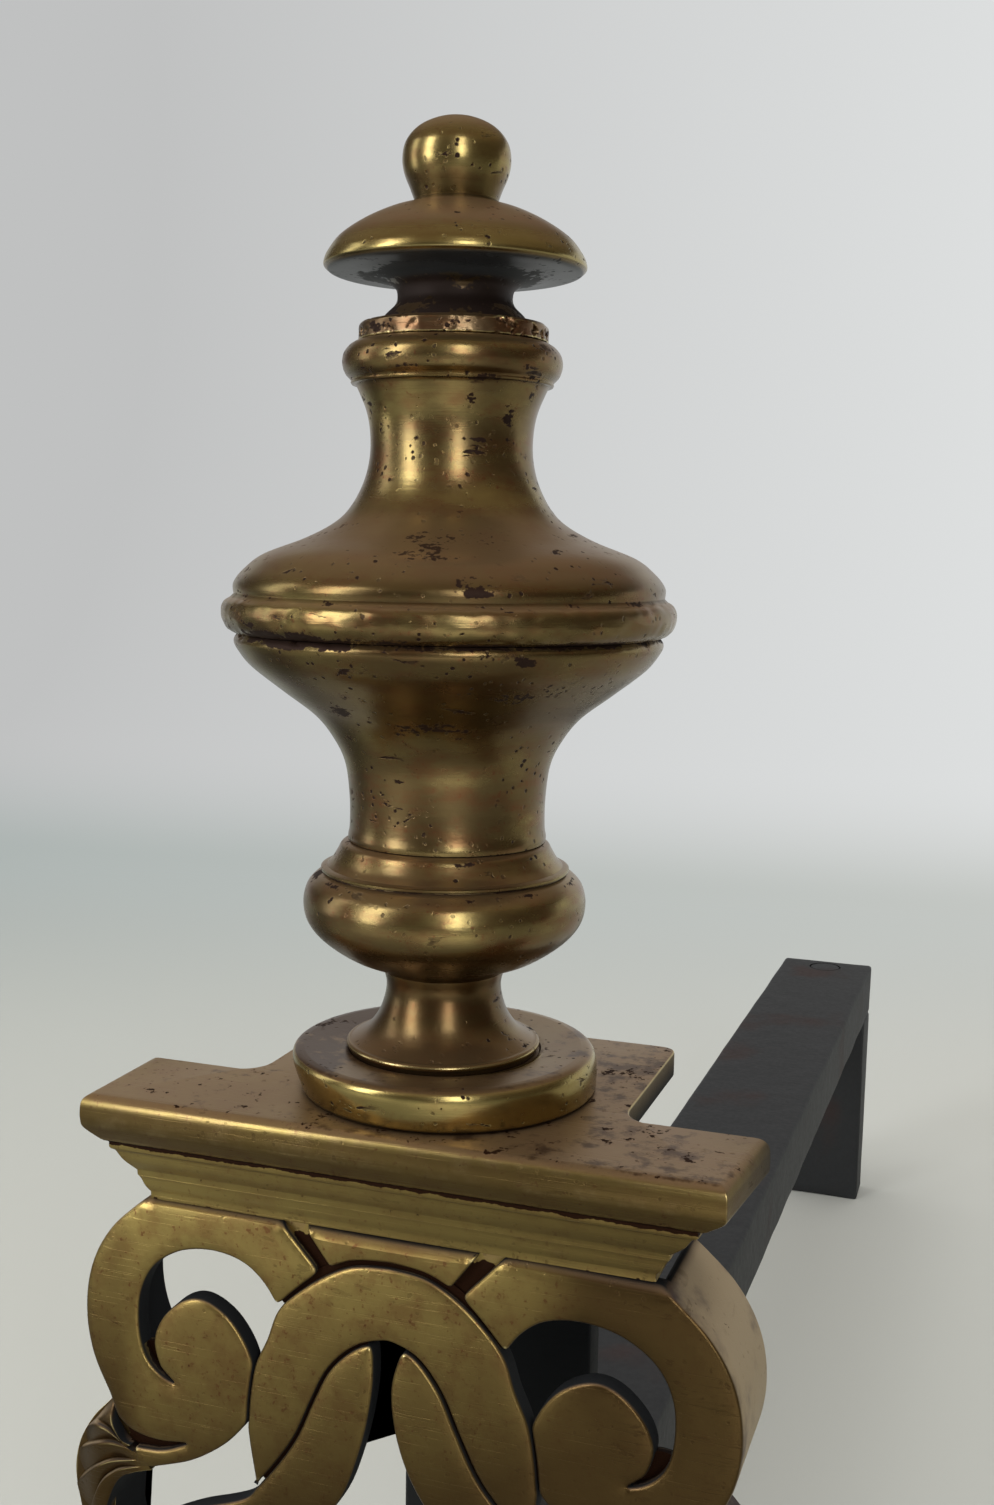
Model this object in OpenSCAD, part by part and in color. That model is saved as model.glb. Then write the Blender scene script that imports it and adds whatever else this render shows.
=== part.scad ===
// Andiron: a turned brass column on a T-shaped plate and a pierced front with two legs,
// carried on an iron log bar with a rear leg. Millimetres. X is sideways, Y runs to the
// back of the hearth, Z is up from the hearth. The origin is on the hearth, in the middle
// of the overall depth.

/* [Overall] */
// Height of the top of the T plate above the hearth
plate_h = 207; // [190:1:240]
// Overall depth, from the front of the belt to the end of the log bar
depth = 542; // [420:1:640]

/* [Column] */
// Diameter of the belt round the vase
belt_d = 73.8; // [68:0.1:80]
// Diameter of the base disc under the column
disc_d = 51; // [46:0.1:53]
// Thickness of the base disc
disc_t = 7.3; // [6:0.1:9]
// Diameter of the flat collar under the finial
collar_d = 30.4; // [28:0.1:34]
// Diameter of the iron tie rod inside the column
rod_d = 6; // [5:0.1:6.5]

/* [Plate] */
// Width of the plate across the front
plate_w = 108; // [104:1:112]
// Depth of the plate's cross bar with the cornice
crossbar_d = 21.8; // [20:0.1:24]
// Width of the tail of the T
tail_w = 65; // [56:1:72]
// How far the tail reaches behind the column's axis
tail_reach = 34.7; // [34:0.1:40]
// Thickness of the tail
tail_t = 4.6; // [4:0.1:5]
// Height of the cornice, with the plate
cornice_h = 17.5; // [17:0.1:18]

/* [Pierced front] */
// Thickness of the strapwork
strap_t = 4; // [3.5:0.1:6]
// Depth of the flange round the outside of each scroll
flange_d = 21; // [15:1:23]
// Depth of the lower legs, front to back
leg_d = 15; // [12:1:17]
// Diameter of each front foot
foot_d = 26; // [22:1:30]

/* [Ironwork] */
// Width of the log bar
bar_w = 40; // [36:1:46]
// Thickness of the log bar
bar_t = 22; // [18:1:26]
// Height of the top of the log bar above the hearth
bar_top_h = 106; // [96:1:112]
// Width of the iron upright behind the front
upright_w = 24; // [20:1:30]
// Thickness of the iron upright
upright_t = 20; // [16:1:20]
// Diameter of the tenons that join the upright and the rear leg to the bar
tenon_d = 14; // [10:1:15]
// Diameter of the rivets through the plate's tongue
rivet_d = 7; // [5:1:8]

/* [Hidden] */
$fn = 96;
fit = 0.1;                          // radial gap of a pin in its hole
plate_front = 27.3;                 // from the column's axis to the plate's front edge
axis_y = belt_d / 2 - depth / 2;    // column axis
bar_end = depth / 2;                // rear end of the log bar
face_y = -24;                       // front of the strapwork, from the column's axis
crossbar_back = crossbar_d - plate_front;
washer_t = 1;
washer_d = 10.4;
nut_w = 9.6;
nut_t = 5;
seam_z = 76.4;                      // joint under the belt, above the plate
knop_z = 42.2;                      // joint between the vase and the knop
collar_z = 122.6;
finial_z = 125.6;
recess_z = disc_t - 1;              // seat of the stem in the disc
rod_top = 140;
rod_hole = rod_d + 0.4;
tongue_w = 49.6;
tongue_y = 7;
tongue_t = 6;
tongue_h = 61.5;
upright_y = tongue_y + tongue_t;    // front of the upright, from the column's axis
upright_c = upright_y + upright_t / 2;
rivet_z = [-20, -47];
rivet_head_d = 13;
rivet_head_t = 3;
ear_x = 30;
ear_w = 9;
ear_t = 4;
screw_d = 4;
screw_head_d = 7.6;
screw_head_t = 2.8;
screw_in = 9;                       // how far a screw enters the cornice
bar_front = upright_y - 4;          // front end of the log bar, from the axis
rear_leg_c = bar_end - axis_y - bar_t / 2;
leg_x = 74;                         // middle of each front foot
foot_y = face_y + 11;
foot_t = 5.5;

brass = "#a08a4c";
dull_brass = "#8f7a48";
iron = "#33312f";

// ---- curves -------------------------------------------------------------------------

// Point at t between b and c on a Catmull-Rom curve through a, b, c and d
function spline_point(a, b, c, d, t) =
    0.5 * (2 * b + (c - a) * t + (2 * a - 5 * b + 4 * c - d) * t * t
           + (3 * b - a - 3 * c + d) * t * t * t);

// Smooth curve through every point of p, with n steps between neighbours
function smooth(p, n = 3) = concat(
    [for (i = [0 : len(p) - 2], k = [0 : n - 1])
        spline_point(p[max(i - 1, 0)], p[i], p[i + 1], p[min(i + 2, len(p) - 1)], k / n)],
    [p[len(p) - 1]]);

// The same points in the opposite order
function reversed(p) = [for (i = [len(p) - 1 : -1 : 0]) p[i]];

// Points mirrored to the other side of the middle
function mirrored(p) = [for (q = p) [-q[0], q[1]]];

// Unit normal of the curve p at point i
function normal_at(p, i) =
    let (d = p[min(i + 1, len(p) - 1)] - p[max(i - 1, 0)]) [-d[1], d[0]] / norm(d);

// Curve p moved sideways by w
function beside(p, w) = [for (i = [0 : len(p) - 1]) p[i] + normal_at(p, i) * w];

// Arc of radius r round c, from angle a to angle b
function arc(c, r, a, b, n = 6) =
    [for (i = [0 : n]) c + r * [cos(a + (b - a) * i / n), sin(a + (b - a) * i / n)]];

// ---- placing ------------------------------------------------------------------------

// Puts children made round the column's axis, with z = 0 on top of the plate
module on_plate() { translate([0, axis_y, plate_h]) children(); }

// Turns an outline of radius and height into a ring with a bore
module turned(outline, bore_d) {
    rotate_extrude() polygon(concat([[bore_d / 2, outline[0][1]]], outline,
                                    [[bore_d / 2, outline[len(outline) - 1][1]]]));
}

// Extrudes a front-view outline backwards from the depth y0, over the depth d
module from_front(y0, d) {
    translate([0, y0 + d, 0]) rotate([90, 0, 0]) linear_extrude(d) children();
}

module bore(d, z0, z1) { translate([0, 0, z0]) cylinder(d = d, h = z1 - z0); }

// ---- column -------------------------------------------------------------------------

module finial() {
    neck = smooth([[12.2, finial_z], [10.8, 127.2], [9.5, 128.5], [9.2, 129.8], [9.7, 131.4],
                   [12.4, 132.9], [19.6, 133.4], [20.7, 134]]);
    cap = smooth([[20.9, 135], [20.4, 136.3], [18.6, 138.6], [15.1, 141], [11, 142.9],
                  [7.2, 144]]);
    ball = smooth([[6.5, 144.8], [7.3, 146.5], [8.3, 148.8], [8.6, 151.1], [8, 153.6],
                   [5.6, 156], [2.7, 157.2], [0, 157.5]]);
    color(brass) on_plate() difference() {
        rotate_extrude() polygon(concat([[0, finial_z]], neck, cap, ball));
        bore(rod_d + 2 * fit, finial_z - 1, rod_top + 1);
    }
}

module finial_collar() {
    color(dull_brass) on_plate() difference() {
        bore(collar_d, collar_z, finial_z);
        bore(rod_hole, collar_z - 1, finial_z + 1);
    }
}

module vase_upper() {
    belt_r = belt_d / 2;
    belt = smooth([[belt_r - 2, seam_z], [belt_r - 0.9, 77.4], [belt_r - 0.1, 79], [belt_r, 80.1],
                   [belt_r - 0.4, 81.4], [belt_r - 1.4, 82.2]]);
    shoulder = smooth([[belt_r - 1.8, 82.5], [belt_r - 1.8, 84], [33.7, 86.5], [30, 89],
                       [23.4, 91.6], [18.8, 94.1], [16.2, 96.7], [14.2, 100.5], [13.2, 104.5],
                       [13.15, 108.5], [13.8, 112], [15.6, 115.8]]);
    bead = smooth([[16.3, 116.9], [17.3, 118.1], [17.65, 119.5], [17.3, 120.9],
                   [16.4, 122], [15.5, collar_z]]);
    color(brass) on_plate() difference() {
        turned(concat(belt, shoulder, [[15.6, 116.3], [16.3, 116.3]], bead), rod_hole);
        bore(56, seam_z - 1, 84);
        translate([0, 0, 84]) cylinder(d1 = 56, d2 = 18, h = 11);
        bore(18, 95 - 0.01, 112);
    }
}

module vase_lower() {
    body = smooth([[16.6, knop_z + 0.4], [16.2, 44.4], [16.2, 49.6], [16.9, 55], [18.7, 59],
                   [21.8, 63], [27, 67], [32.1, 71], [34.3, 73.7], [34.9, 75.4]]);
    color(brass) on_plate() difference() {
        turned(concat([[15.6, knop_z]], body, [[34.2, seam_z]]), rod_hole);
        bore(20, 46, 60);
        translate([0, 0, 60 - 0.01]) cylinder(d1 = 20, d2 = 52, h = 11);
        bore(56, 71 - 0.02, seam_z + 1);
    }
}

module knop_stem() {
    stem = smooth([[15.6, recess_z], [16.1, 7.4], [16.1, 8], [15.4, 8.6], [12.8, 10.3],
                   [11, 12.6], [9.9, 15.4], [9.5, 18], [10, 20.2]]);
    knop = smooth([[12.4, 21.5], [16, 23.1], [20.4, 26], [22.8, 28.9], [23.5, 32],
                   [22.9, 35], [20.4, 37.3]]);
    band = smooth([[19.3, 37.6], [18.6, 39.1], [17.6, 40.8], [17, 41.8]]);
    color(brass) on_plate() turned(concat(stem, knop, band, [[16.2, knop_z]]), rod_hole);
}

module base_disc() {
    r = disc_d / 2;
    edge = smooth([[r - 1.5, 0], [r - 0.8, 1.5], [r - 0.2, 4], [r, 5.8], [r - 0.4, 6.8],
                   [r - 1.4, disc_t]]);
    color(brass) on_plate() difference() {
        turned(edge, rod_hole);
        bore(32.6, recess_z, disc_t + 1);
    }
}

module tie_rod() {
    color(iron) on_plate() bore(rod_d, -tail_t - washer_t - nut_t - 2, rod_top);
}

module tie_rod_washer() {
    color(iron) on_plate() difference() {
        bore(washer_d, -tail_t - washer_t, -tail_t);
        bore(rod_d + 2 * fit, -tail_t - washer_t - 1, 0);
    }
}

module tie_rod_nut() {
    top = -tail_t - washer_t;
    color(iron) on_plate() difference() {
        translate([-nut_w / 2, -nut_w / 2, top - nut_t]) cube([nut_w, nut_w, nut_t]);
        bore(rod_d + 2 * fit, top - nut_t - 1, 0);
    }
}

// ---- plate --------------------------------------------------------------------------

// Moulding of the cornice: how far in, and how far down. Each [in, z] goes from the top
// face round the rounded nose, in under it, and down the two coves.
function moulding(run) = concat(
    smooth([[1.3, 0], [0.35, -0.8], [0, -2.6], [0.4, -5.6], [3 * run, -7.6]]),
    [[4.5 * run, -7.8], [4.5 * run, -8.9]],
    smooth([[5.5 * run, -9.3], [6.7 * run, -11], [8.8 * run, -12.6]]),
    [[8.8 * run, -13.5]],
    smooth([[9.4 * run, -14], [10.1 * run, -15.4], [11 * run, -16.3]]),
    [[11 * run, -cornice_h]]);

module t_plate() {
    front = moulding(0.34);
    ends = moulding(1);
    tail = tail_w / 2;
    inner = 5;                      // radius of the inside corners of the T
    outer = 2.5;                    // radius of the tail's rear corners
    side = concat([[tail + inner, crossbar_back - 1]],
                  arc([tail + inner, crossbar_back + inner], inner, 270, 180),
                  arc([tail - outer, tail_reach - outer], outer, 0, 90, 4));
    color(brass) on_plate() difference() {
        union() {
            intersection() {
                translate([-plate_w, 0, 0]) rotate([90, 0, 90]) linear_extrude(2 * plate_w)
                    polygon(concat([for (q = front) [q[0] - plate_front, q[1]]],
                                   [[crossbar_back, -cornice_h], [crossbar_back, 0]]));
                from_front(-plate_front - 1, crossbar_d + 2)
                    polygon(concat([for (q = ends) [plate_w / 2 - q[0], q[1]]],
                                   reversed([for (q = ends) [q[0] - plate_w / 2, q[1]]])));
            }
            translate([0, 0, -tail_t]) linear_extrude(tail_t)
                polygon(concat(side, reversed(mirrored(side))));
            translate([-tongue_w / 2, tongue_y, -tongue_h])
                cube([tongue_w, tongue_t, tongue_h - tail_t / 2]);
        }
        bore(rod_hole, -tail_t - 1, 1);
        for (z = rivet_z) translate([0, tongue_y + tongue_t + 1, z])
            rotate([90, 0, 0]) cylinder(d = rivet_d + 2 * fit, h = tongue_t + 2);
        for (x = [-ear_x, ear_x]) translate([x, face_y + strap_t + 6, 0])
            bore(screw_d + 2 * fit, -cornice_h - 1, screw_in - cornice_h);
    }
}

// ---- pierced front ------------------------------------------------------------------

// Front-view curves of the right-hand half, as [x, z] with z = 0 on top of the plate
scroll_out = smooth([[43.6, -17.5], [46.4, -19.8], [50.4, -23.6], [53.6, -28.6], [55.4, -34.4],
                     [55.7, -41], [54.4, -47.4], [51.4, -53.6]]);
scroll_end = smooth([[50, -57.4], [47.8, -59.2], [44.6, -60.1], [41.2, -60.3], [37.5, -59.8]]);
eye_out = smooth([[38.5, -49.6], [41.4, -48.6], [44.2, -45.8], [45.5, -41], [45.2, -34.6],
                  [42.6, -29.4], [37.6, -26], [31.6, -24.9], [26, -25.9], [22.2, -28.6],
                  [19.8, -32]]);
eye_in = smooth([[24.1, -43], [25.8, -39.4], [28.9, -35.8], [33.3, -33.7], [37.2, -34.6],
                 [41, -38.2], [42.7, -42.6], [41.6, -47]]);
arch_out = smooth([[0, -21.8], [6.4, -22.6], [12, -25.6], [17.4, -30.2], [20, -33.6],
                   [21.6, -38.2], [23.8, -43.2], [24.8, -49], [25.1, -53.6]]);
arch_leg = smooth([[25.3, -53.8], [24.9, -57.2], [23.6, -64.6]]);
arch_in = smooth([[0, -34.5], [5, -36.2], [9.6, -40.8], [12.8, -47.2], [16.2, -54.4],
                  [20, -60.2], [23.6, -64.8]]);
lobe_low = smooth([[25.4, -54], [29.5, -58.5], [35.6, -62.6], [42.6, -65.2], [47.2, -67],
                   [50.3, -69.5], [52.3, -73.6], [53, -80.6]]);
ogee_top = smooth([[50.6, -81.6], [42.6, -75.2], [35.4, -71.2], [28.6, -68.6], [25, -66.8],
                   [23.6, -64.8]]);
ogee_low = smooth([[2.3, -36.6], [1.6, -42.6], [2.9, -51], [6, -59.4], [10.6, -67],
                   [17.4, -74], [26, -79.6], [34.6, -86], [41, -95], [44.4, -104]]);
knee = smooth([[51.2, -54.4], [53.6, -57.1], [56.5, -60.2], [59.2, -64.7], [60.4, -69.1],
               [60.4, -73], [59.5, -77.6], [58.2, -83]]);
leg_out = smooth([[57.2, -88], [55.8, -98], [56.2, -118], [59, -142], [63.8, -162],
                  [69.4, -180], [75, -194], [79.4, 4 - plate_h]]);
leg_in = smooth([[68.4, 4 - plate_h], [65.6, -194], [61, -180], [55.6, -162], [50.8, -142],
                 [47.2, -122], [45, -108]]);
tail_top = smooth([[36.2, -59.7], [40.4, -61.6], [43.6, -62.2], [47.8, -61.9], [50.8, -58.4]]);
notch = [[19, -16.9], [15.4, -16.9], [10.4, -22.6], [11.8, -23.8]];

// Outline of one half of the front, down to the feet
module half_front() {
    polygon(concat([[0, -17.5]], scroll_out, knee, leg_out, leg_in, reversed(ogee_low),
                   [[0, -34.5]]));
}

// The two openings that go right through one half
module half_openings() {
    arch_side = [for (q = arch_out) if (q[1] < -33.4 && q[1] > -43) q];
    polygon(concat(eye_out, arch_side, eye_in));
    polygon(concat(lobe_low, ogee_top, reversed(arch_leg)));
}

// A groove of width w along the curve p
module groove(p, w) { polygon(concat(beside(p, w / 2), reversed(beside(p, -w / 2)))); }

// Lines cut between the crossing straps of one half
module half_lines() {
    groove([for (q = arch_out) if (q[1] > -32.4) q], 1.2);
    groove([for (q = arch_out) if (q[1] < -42) q], 0.7);
    groove(arch_in, 0.9);
    polygon(notch);
    polygon(concat(scroll_end, tail_top));
}

module half_casting() {
    flange = concat(scroll_out, reversed(beside(scroll_out, -3)));
    knee_in = [for (q = lobe_low) if (q[1] < -64) q];
    difference() {
        from_front(face_y, strap_t) difference() {
            half_front();
            half_openings();
        }
        from_front(face_y - 1, 2.2) half_lines();
    }
    from_front(face_y + strap_t - 0.5, flange_d - strap_t + 0.5) polygon(flange);
    from_front(face_y + strap_t - 0.5, leg_d - strap_t + 0.5)
        polygon(concat(knee, leg_out, leg_in, [[45.4, -98], [51.6, -86]], reversed(knee_in)));
    translate([leg_x, foot_y, -plate_h]) rotate_extrude()
        polygon([[0, 0], [foot_d / 2 - 1, 0], [foot_d / 2, 1], [foot_d / 2, 3],
                 [foot_d / 2 - 2.4, foot_t], [0, foot_t]]);
    translate([ear_x, face_y + strap_t, -cornice_h - ear_t]) difference() {
        translate([-ear_w / 2, -1, 0]) cube([ear_w, 12.4, ear_t]);
        translate([0, 6, -1]) cylinder(d = screw_d + 2 * fit, h = ear_t + 2);
    }
}

module pierced_front() {
    color(brass) on_plate() {
        half_casting();
        mirror([1, 0, 0]) half_casting();
    }
}

module front_screws() {
    seat = -cornice_h - ear_t;
    color(dull_brass) on_plate()
        for (x = [-ear_x, ear_x]) translate([x, face_y + strap_t + 6, 0]) {
            bore(screw_head_d, seat - screw_head_t, seat);
            bore(screw_d, seat - 0.5, screw_in - cornice_h - 1);
        }
}

// ---- ironwork -----------------------------------------------------------------------

// Height of the bar's top, from the top of the plate
bar_top = bar_top_h - plate_h;

module front_upright() {
    color(iron) on_plate() {
        difference() {
            translate([-upright_w / 2, upright_y, bar_top])
                cube([upright_w, upright_t, -tail_t - bar_top]);
            for (z = rivet_z) translate([0, upright_y + upright_t + 1, z])
                rotate([90, 0, 0]) cylinder(d = rivet_d + 2 * fit, h = upright_t + 2);
        }
        translate([0, upright_c, 0]) {
            bore(tenon_d, bar_top - bar_t, bar_top + 1);
            translate([0, 0, bar_top - bar_t - 2.5]) cylinder(d1 = 17, d2 = 20, h = 2.5);
        }
    }
}

module tongue_rivets() {
    grip = tongue_t + upright_t;
    color(iron) on_plate() for (z = rivet_z) translate([0, tongue_y, z]) {
        rotate([-90, 0, 0]) cylinder(d = rivet_d, h = grip);
        rotate([90, 0, 0]) cylinder(d1 = rivet_head_d, d2 = rivet_d, h = rivet_head_t);
        translate([0, grip, 0]) rotate([-90, 0, 0])
            cylinder(d1 = rivet_head_d, d2 = rivet_d, h = rivet_head_t);
    }
}

module log_bar() {
    color(iron) on_plate() difference() {
        translate([-bar_w / 2, bar_front, bar_top - bar_t])
            cube([bar_w, bar_end - axis_y - bar_front, bar_t]);
        for (y = [upright_c, rear_leg_c]) translate([0, y, 0])
            bore(tenon_d + 2 * fit, bar_top - bar_t - 1, bar_top + 1);
    }
}

module rear_leg() {
    top = bar_top - bar_t;
    taper = 4;
    color(iron) on_plate() translate([0, rear_leg_c, 0]) {
        translate([-bar_w / 2, 0, 0]) rotate([90, 0, 90]) linear_extrude(bar_w)
            polygon([[-bar_t / 2, top], [bar_t / 2, top], [bar_t / 2 - taper, -plate_h],
                     [-bar_t / 2, -plate_h]]);
        bore(tenon_d, top - 1, bar_top);
    }
}

finial();
finial_collar();
vase_upper();
vase_lower();
knop_stem();
base_disc();
tie_rod();
tie_rod_washer();
tie_rod_nut();
t_plate();
pierced_front();
front_screws();
front_upright();
tongue_rivets();
log_bar();
rear_leg();
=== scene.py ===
"""Looks of a brass andiron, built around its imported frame.

A turned brass column stands on a T-shaped plate over a pierced front, and a flat iron bar
with a rear leg carries the logs. Shapes are drawn in millimetres from the column's axis at
the top of the plate, and turn to metres in the row frame when a piece is finished.
"""

import logging
import math
from collections.abc import Callable, Sequence
from dataclasses import dataclass, field
from enum import Enum

import bmesh
import bpy
import numpy as np
from mathutils import Matrix, Vector, noise


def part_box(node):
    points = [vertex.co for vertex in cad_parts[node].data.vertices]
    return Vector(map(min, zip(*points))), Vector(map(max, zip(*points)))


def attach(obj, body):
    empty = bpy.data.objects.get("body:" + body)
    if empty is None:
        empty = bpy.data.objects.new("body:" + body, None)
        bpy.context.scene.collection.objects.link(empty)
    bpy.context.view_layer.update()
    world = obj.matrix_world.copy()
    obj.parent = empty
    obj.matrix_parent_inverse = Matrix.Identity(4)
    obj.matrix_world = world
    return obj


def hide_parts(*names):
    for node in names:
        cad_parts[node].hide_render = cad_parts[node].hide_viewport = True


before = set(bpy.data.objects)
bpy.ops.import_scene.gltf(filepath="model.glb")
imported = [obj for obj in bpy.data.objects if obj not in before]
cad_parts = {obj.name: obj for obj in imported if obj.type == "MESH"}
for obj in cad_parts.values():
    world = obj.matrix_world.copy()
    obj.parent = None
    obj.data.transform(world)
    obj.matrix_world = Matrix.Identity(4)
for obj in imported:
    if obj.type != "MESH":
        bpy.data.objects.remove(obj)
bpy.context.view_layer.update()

log = logging.getLogger("andiron")

# Fixes where noise_vector puts its dents, which follow the clock when it isn't seeded
SEED = 7
MM = 0.001
# What several pieces share, in millimetres: the plate's thickness, the hearth's height, the
# rivets' heights and their holes' diameter
PLATE_T = 4.6
HEARTH = -207.0
RIVETS = (-20, -47)
RIVET_BORE = 7.2
# Where the drawing's origin stands in the row frame, in metres
AXIS_Y = round(sum(corner.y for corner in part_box("tie_rod")) / 2, 4)
PLATE_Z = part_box("t_plate")[1].z
# Settings of nodes that many finishes use
SMOOTH = {"interpolation_type": "SMOOTHSTEP"}
COLOURS = {"data_type": "RGBA"}

Pair = tuple[float, float]
Triple = tuple[float, float, float]
Curve = np.ndarray
Shape = bmesh.types.BMesh
Piece = bpy.types.Object
Tree = bpy.types.NodeTree
Socket = bpy.types.NodeSocket


class Slot(Enum):
    """Material slots of the record that a piece takes its finish from."""

    TURNED_BRASS = "turned_brass"
    DULL_BRASS = "dull_brass"
    CAST_BRASS = "cast_brass"
    FORGED_IRON = "forged_iron"
    PLAIN_IRON = "plain_iron"


# ---- curves --------------------------------------------------------------------------


def spline(points: Sequence[Pair], steps: int = 8) -> Curve:
    """Runs a smooth curve through every point.

    Args:
        points: The points, in millimetres.
        steps: How many stretches the curve has between two neighbours.

    Returns:
        The curve's points, both ends included.
    """
    p = np.array(points, float)
    last = len(p) - 1
    t = (np.arange(steps) / steps)[:, None]
    parts = []
    for i in range(last):
        a, b, c, d = p[max(i - 1, 0)], p[i], p[i + 1], p[min(i + 2, last)]
        parts.append(0.5 * (2 * b + (c - a) * t + (2 * a - 5 * b + 4 * c - d) * t**2
                            + (3 * b - a - 3 * c + d) * t**3))
    return np.vstack([*parts, p[-1:]])


def curve(*points: Pair) -> Curve:
    """Declares a field that holds a smooth curve through these points."""
    return field(default_factory=lambda: spline(points))


def mirrored(line: Curve) -> Curve:
    """Mirrors a curve to the other side of the middle, and turns its order round."""
    return (line * (-1, 1))[::-1]


def beside(line: Curve, distance: float | np.ndarray) -> Curve:
    """Moves an open curve sideways, to its left when the distance is positive."""
    run = np.gradient(line, axis=0)
    run /= np.hypot(*run.T)[:, None]
    return line + np.reshape(distance, (-1, 1)) * np.column_stack([-run[:, 1], run[:, 0]])


def lengths(line: Curve) -> np.ndarray:
    """Gives how far along the curve each of its points is."""
    return np.concatenate([[0], np.cumsum(np.hypot(*np.diff(line, axis=0).T))])


def along(line: Curve, share: np.ndarray) -> Curve:
    """Gives the points at these shares of a curve's length."""
    run = lengths(line)
    return np.column_stack([np.interp(share * run[-1], run, line[:, k]) for k in (0, 1)])


def softened(outline: Curve, pitch: float = 0.4, rounds: int = 5) -> Curve:
    """Spaces a closed outline evenly and rounds its corners.

    Args:
        outline: The closed outline, its first point not repeated.
        pitch: The distance between points, in millimetres.
        rounds: How often the points are averaged with their neighbours.

    Returns:
        The new outline, anticlockwise.
    """
    ring = np.vstack([outline, outline[:1]])
    run = lengths(ring)
    count = max(12, round(run[-1] / pitch))
    at = np.arange(count) * run[-1] / count
    ring = np.column_stack([np.interp(at, run, ring[:, k]) for k in (0, 1)])
    for _ in range(rounds):
        ring = (np.roll(ring, 1, 0) + 2 * ring + np.roll(ring, -1, 0)) / 4
    x, y = ring.T
    area = np.sum(x * np.roll(y, -1) - y * np.roll(x, -1))
    return ring if area > 0 else ring[::-1]


def inward(ring: Curve) -> Curve:
    """Gives the unit normals of an anticlockwise outline, pointing inwards."""
    run = np.roll(ring, -1, 0) - np.roll(ring, 1, 0)
    run /= np.hypot(*run.T)[:, None]
    return np.column_stack([-run[:, 1], run[:, 0]])


def clearance(points: Curve, ring: Curve) -> np.ndarray:
    """Measures how far each point is from a closed outline."""
    run = np.roll(ring, -1, 0) - ring
    best = []
    for part in np.array_split(points, max(1, len(points) // 1500)):
        to = part[:, None] - ring
        t = np.clip((to * run).sum(2) / (run**2).sum(1), 0, 1)
        best.append(np.sqrt(((to - t[..., None] * run) ** 2).sum(2).min(1)))
    return np.concatenate(best)


def ramp(value: np.ndarray | float, low: float, high: float) -> np.ndarray | float:
    """Rises smoothly from 0 at low to 1 at high."""
    t = np.clip((value - low) / (high - low), 0, 1)
    return t * t * (3 - 2 * t)


# ---- meshes --------------------------------------------------------------------------


def extruded(bm: Shape, edges: list) -> tuple[list, list]:
    """Extrudes a chain of edges in place.

    Args:
        bm: The mesh.
        edges: The edges of the chain.

    Returns:
        The new points and the new chain's edges.
    """
    grown = bmesh.ops.extrude_edge_only(bm, edges=edges)["geom"]
    points = [g for g in grown if isinstance(g, bmesh.types.BMVert)]
    fresh = set(points)
    chain = [g for g in grown if isinstance(g, bmesh.types.BMEdge) and set(g.verts) <= fresh]
    return points, chain


def chain_of(bm: Shape, points: Sequence[Sequence[float]], closed: bool) -> list:
    """Draws a chain of edges through the points and returns its edges."""
    order = bm.verts.layers.int.get("order") or bm.verts.layers.int.new("order")
    verts = [bm.verts.new(p) for p in points]
    for i, vert in enumerate(verts):
        vert[order] = i
    pairs = zip(verts, verts[1:] + verts[:1] if closed else verts[1:])
    return [bm.edges.new(pair) for pair in pairs]


def closed_up(bm: Shape, merge: float = 1e-4) -> Shape:
    """Merges doubled points, and turns all faces outwards."""
    bmesh.ops.remove_doubles(bm, verts=bm.verts, dist=merge)
    bmesh.ops.recalc_face_normals(bm, faces=bm.faces)
    if bm.calc_volume(signed=True) < 0:
        bmesh.ops.reverse_faces(bm, faces=bm.faces)
    return bm


def split(bm: Shape) -> Shape:
    """Splits every face that has more than four corners into triangles."""
    bmesh.ops.triangulate(bm, faces=[face for face in bm.faces if len(face.verts) > 4])
    return bm


def turned(outline: Curve, steps: int = 192, centre: Pair = (0, 0)) -> Shape:
    """Turns a closed outline of radius and height about an upright axis.

    Args:
        outline: The outline, its first point not repeated.
        steps: How many steps a full turn has.
        centre: Where the axis stands.

    Returns:
        The solid.
    """
    bm = bmesh.new()
    points = [(r, 0, z) for r, z in outline]
    edges = chain_of(bm, points, closed=bool(outline[0][0] or outline[-1][0]))
    bmesh.ops.spin(bm, geom=list(bm.verts) + edges, cent=(0, 0, 0), axis=(0, 0, 1),
                   dvec=(0, 0, 0), angle=math.tau, steps=steps, use_merge=True)
    bmesh.ops.translate(bm, verts=bm.verts, vec=(*centre, 0))
    return closed_up(bm)


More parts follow.
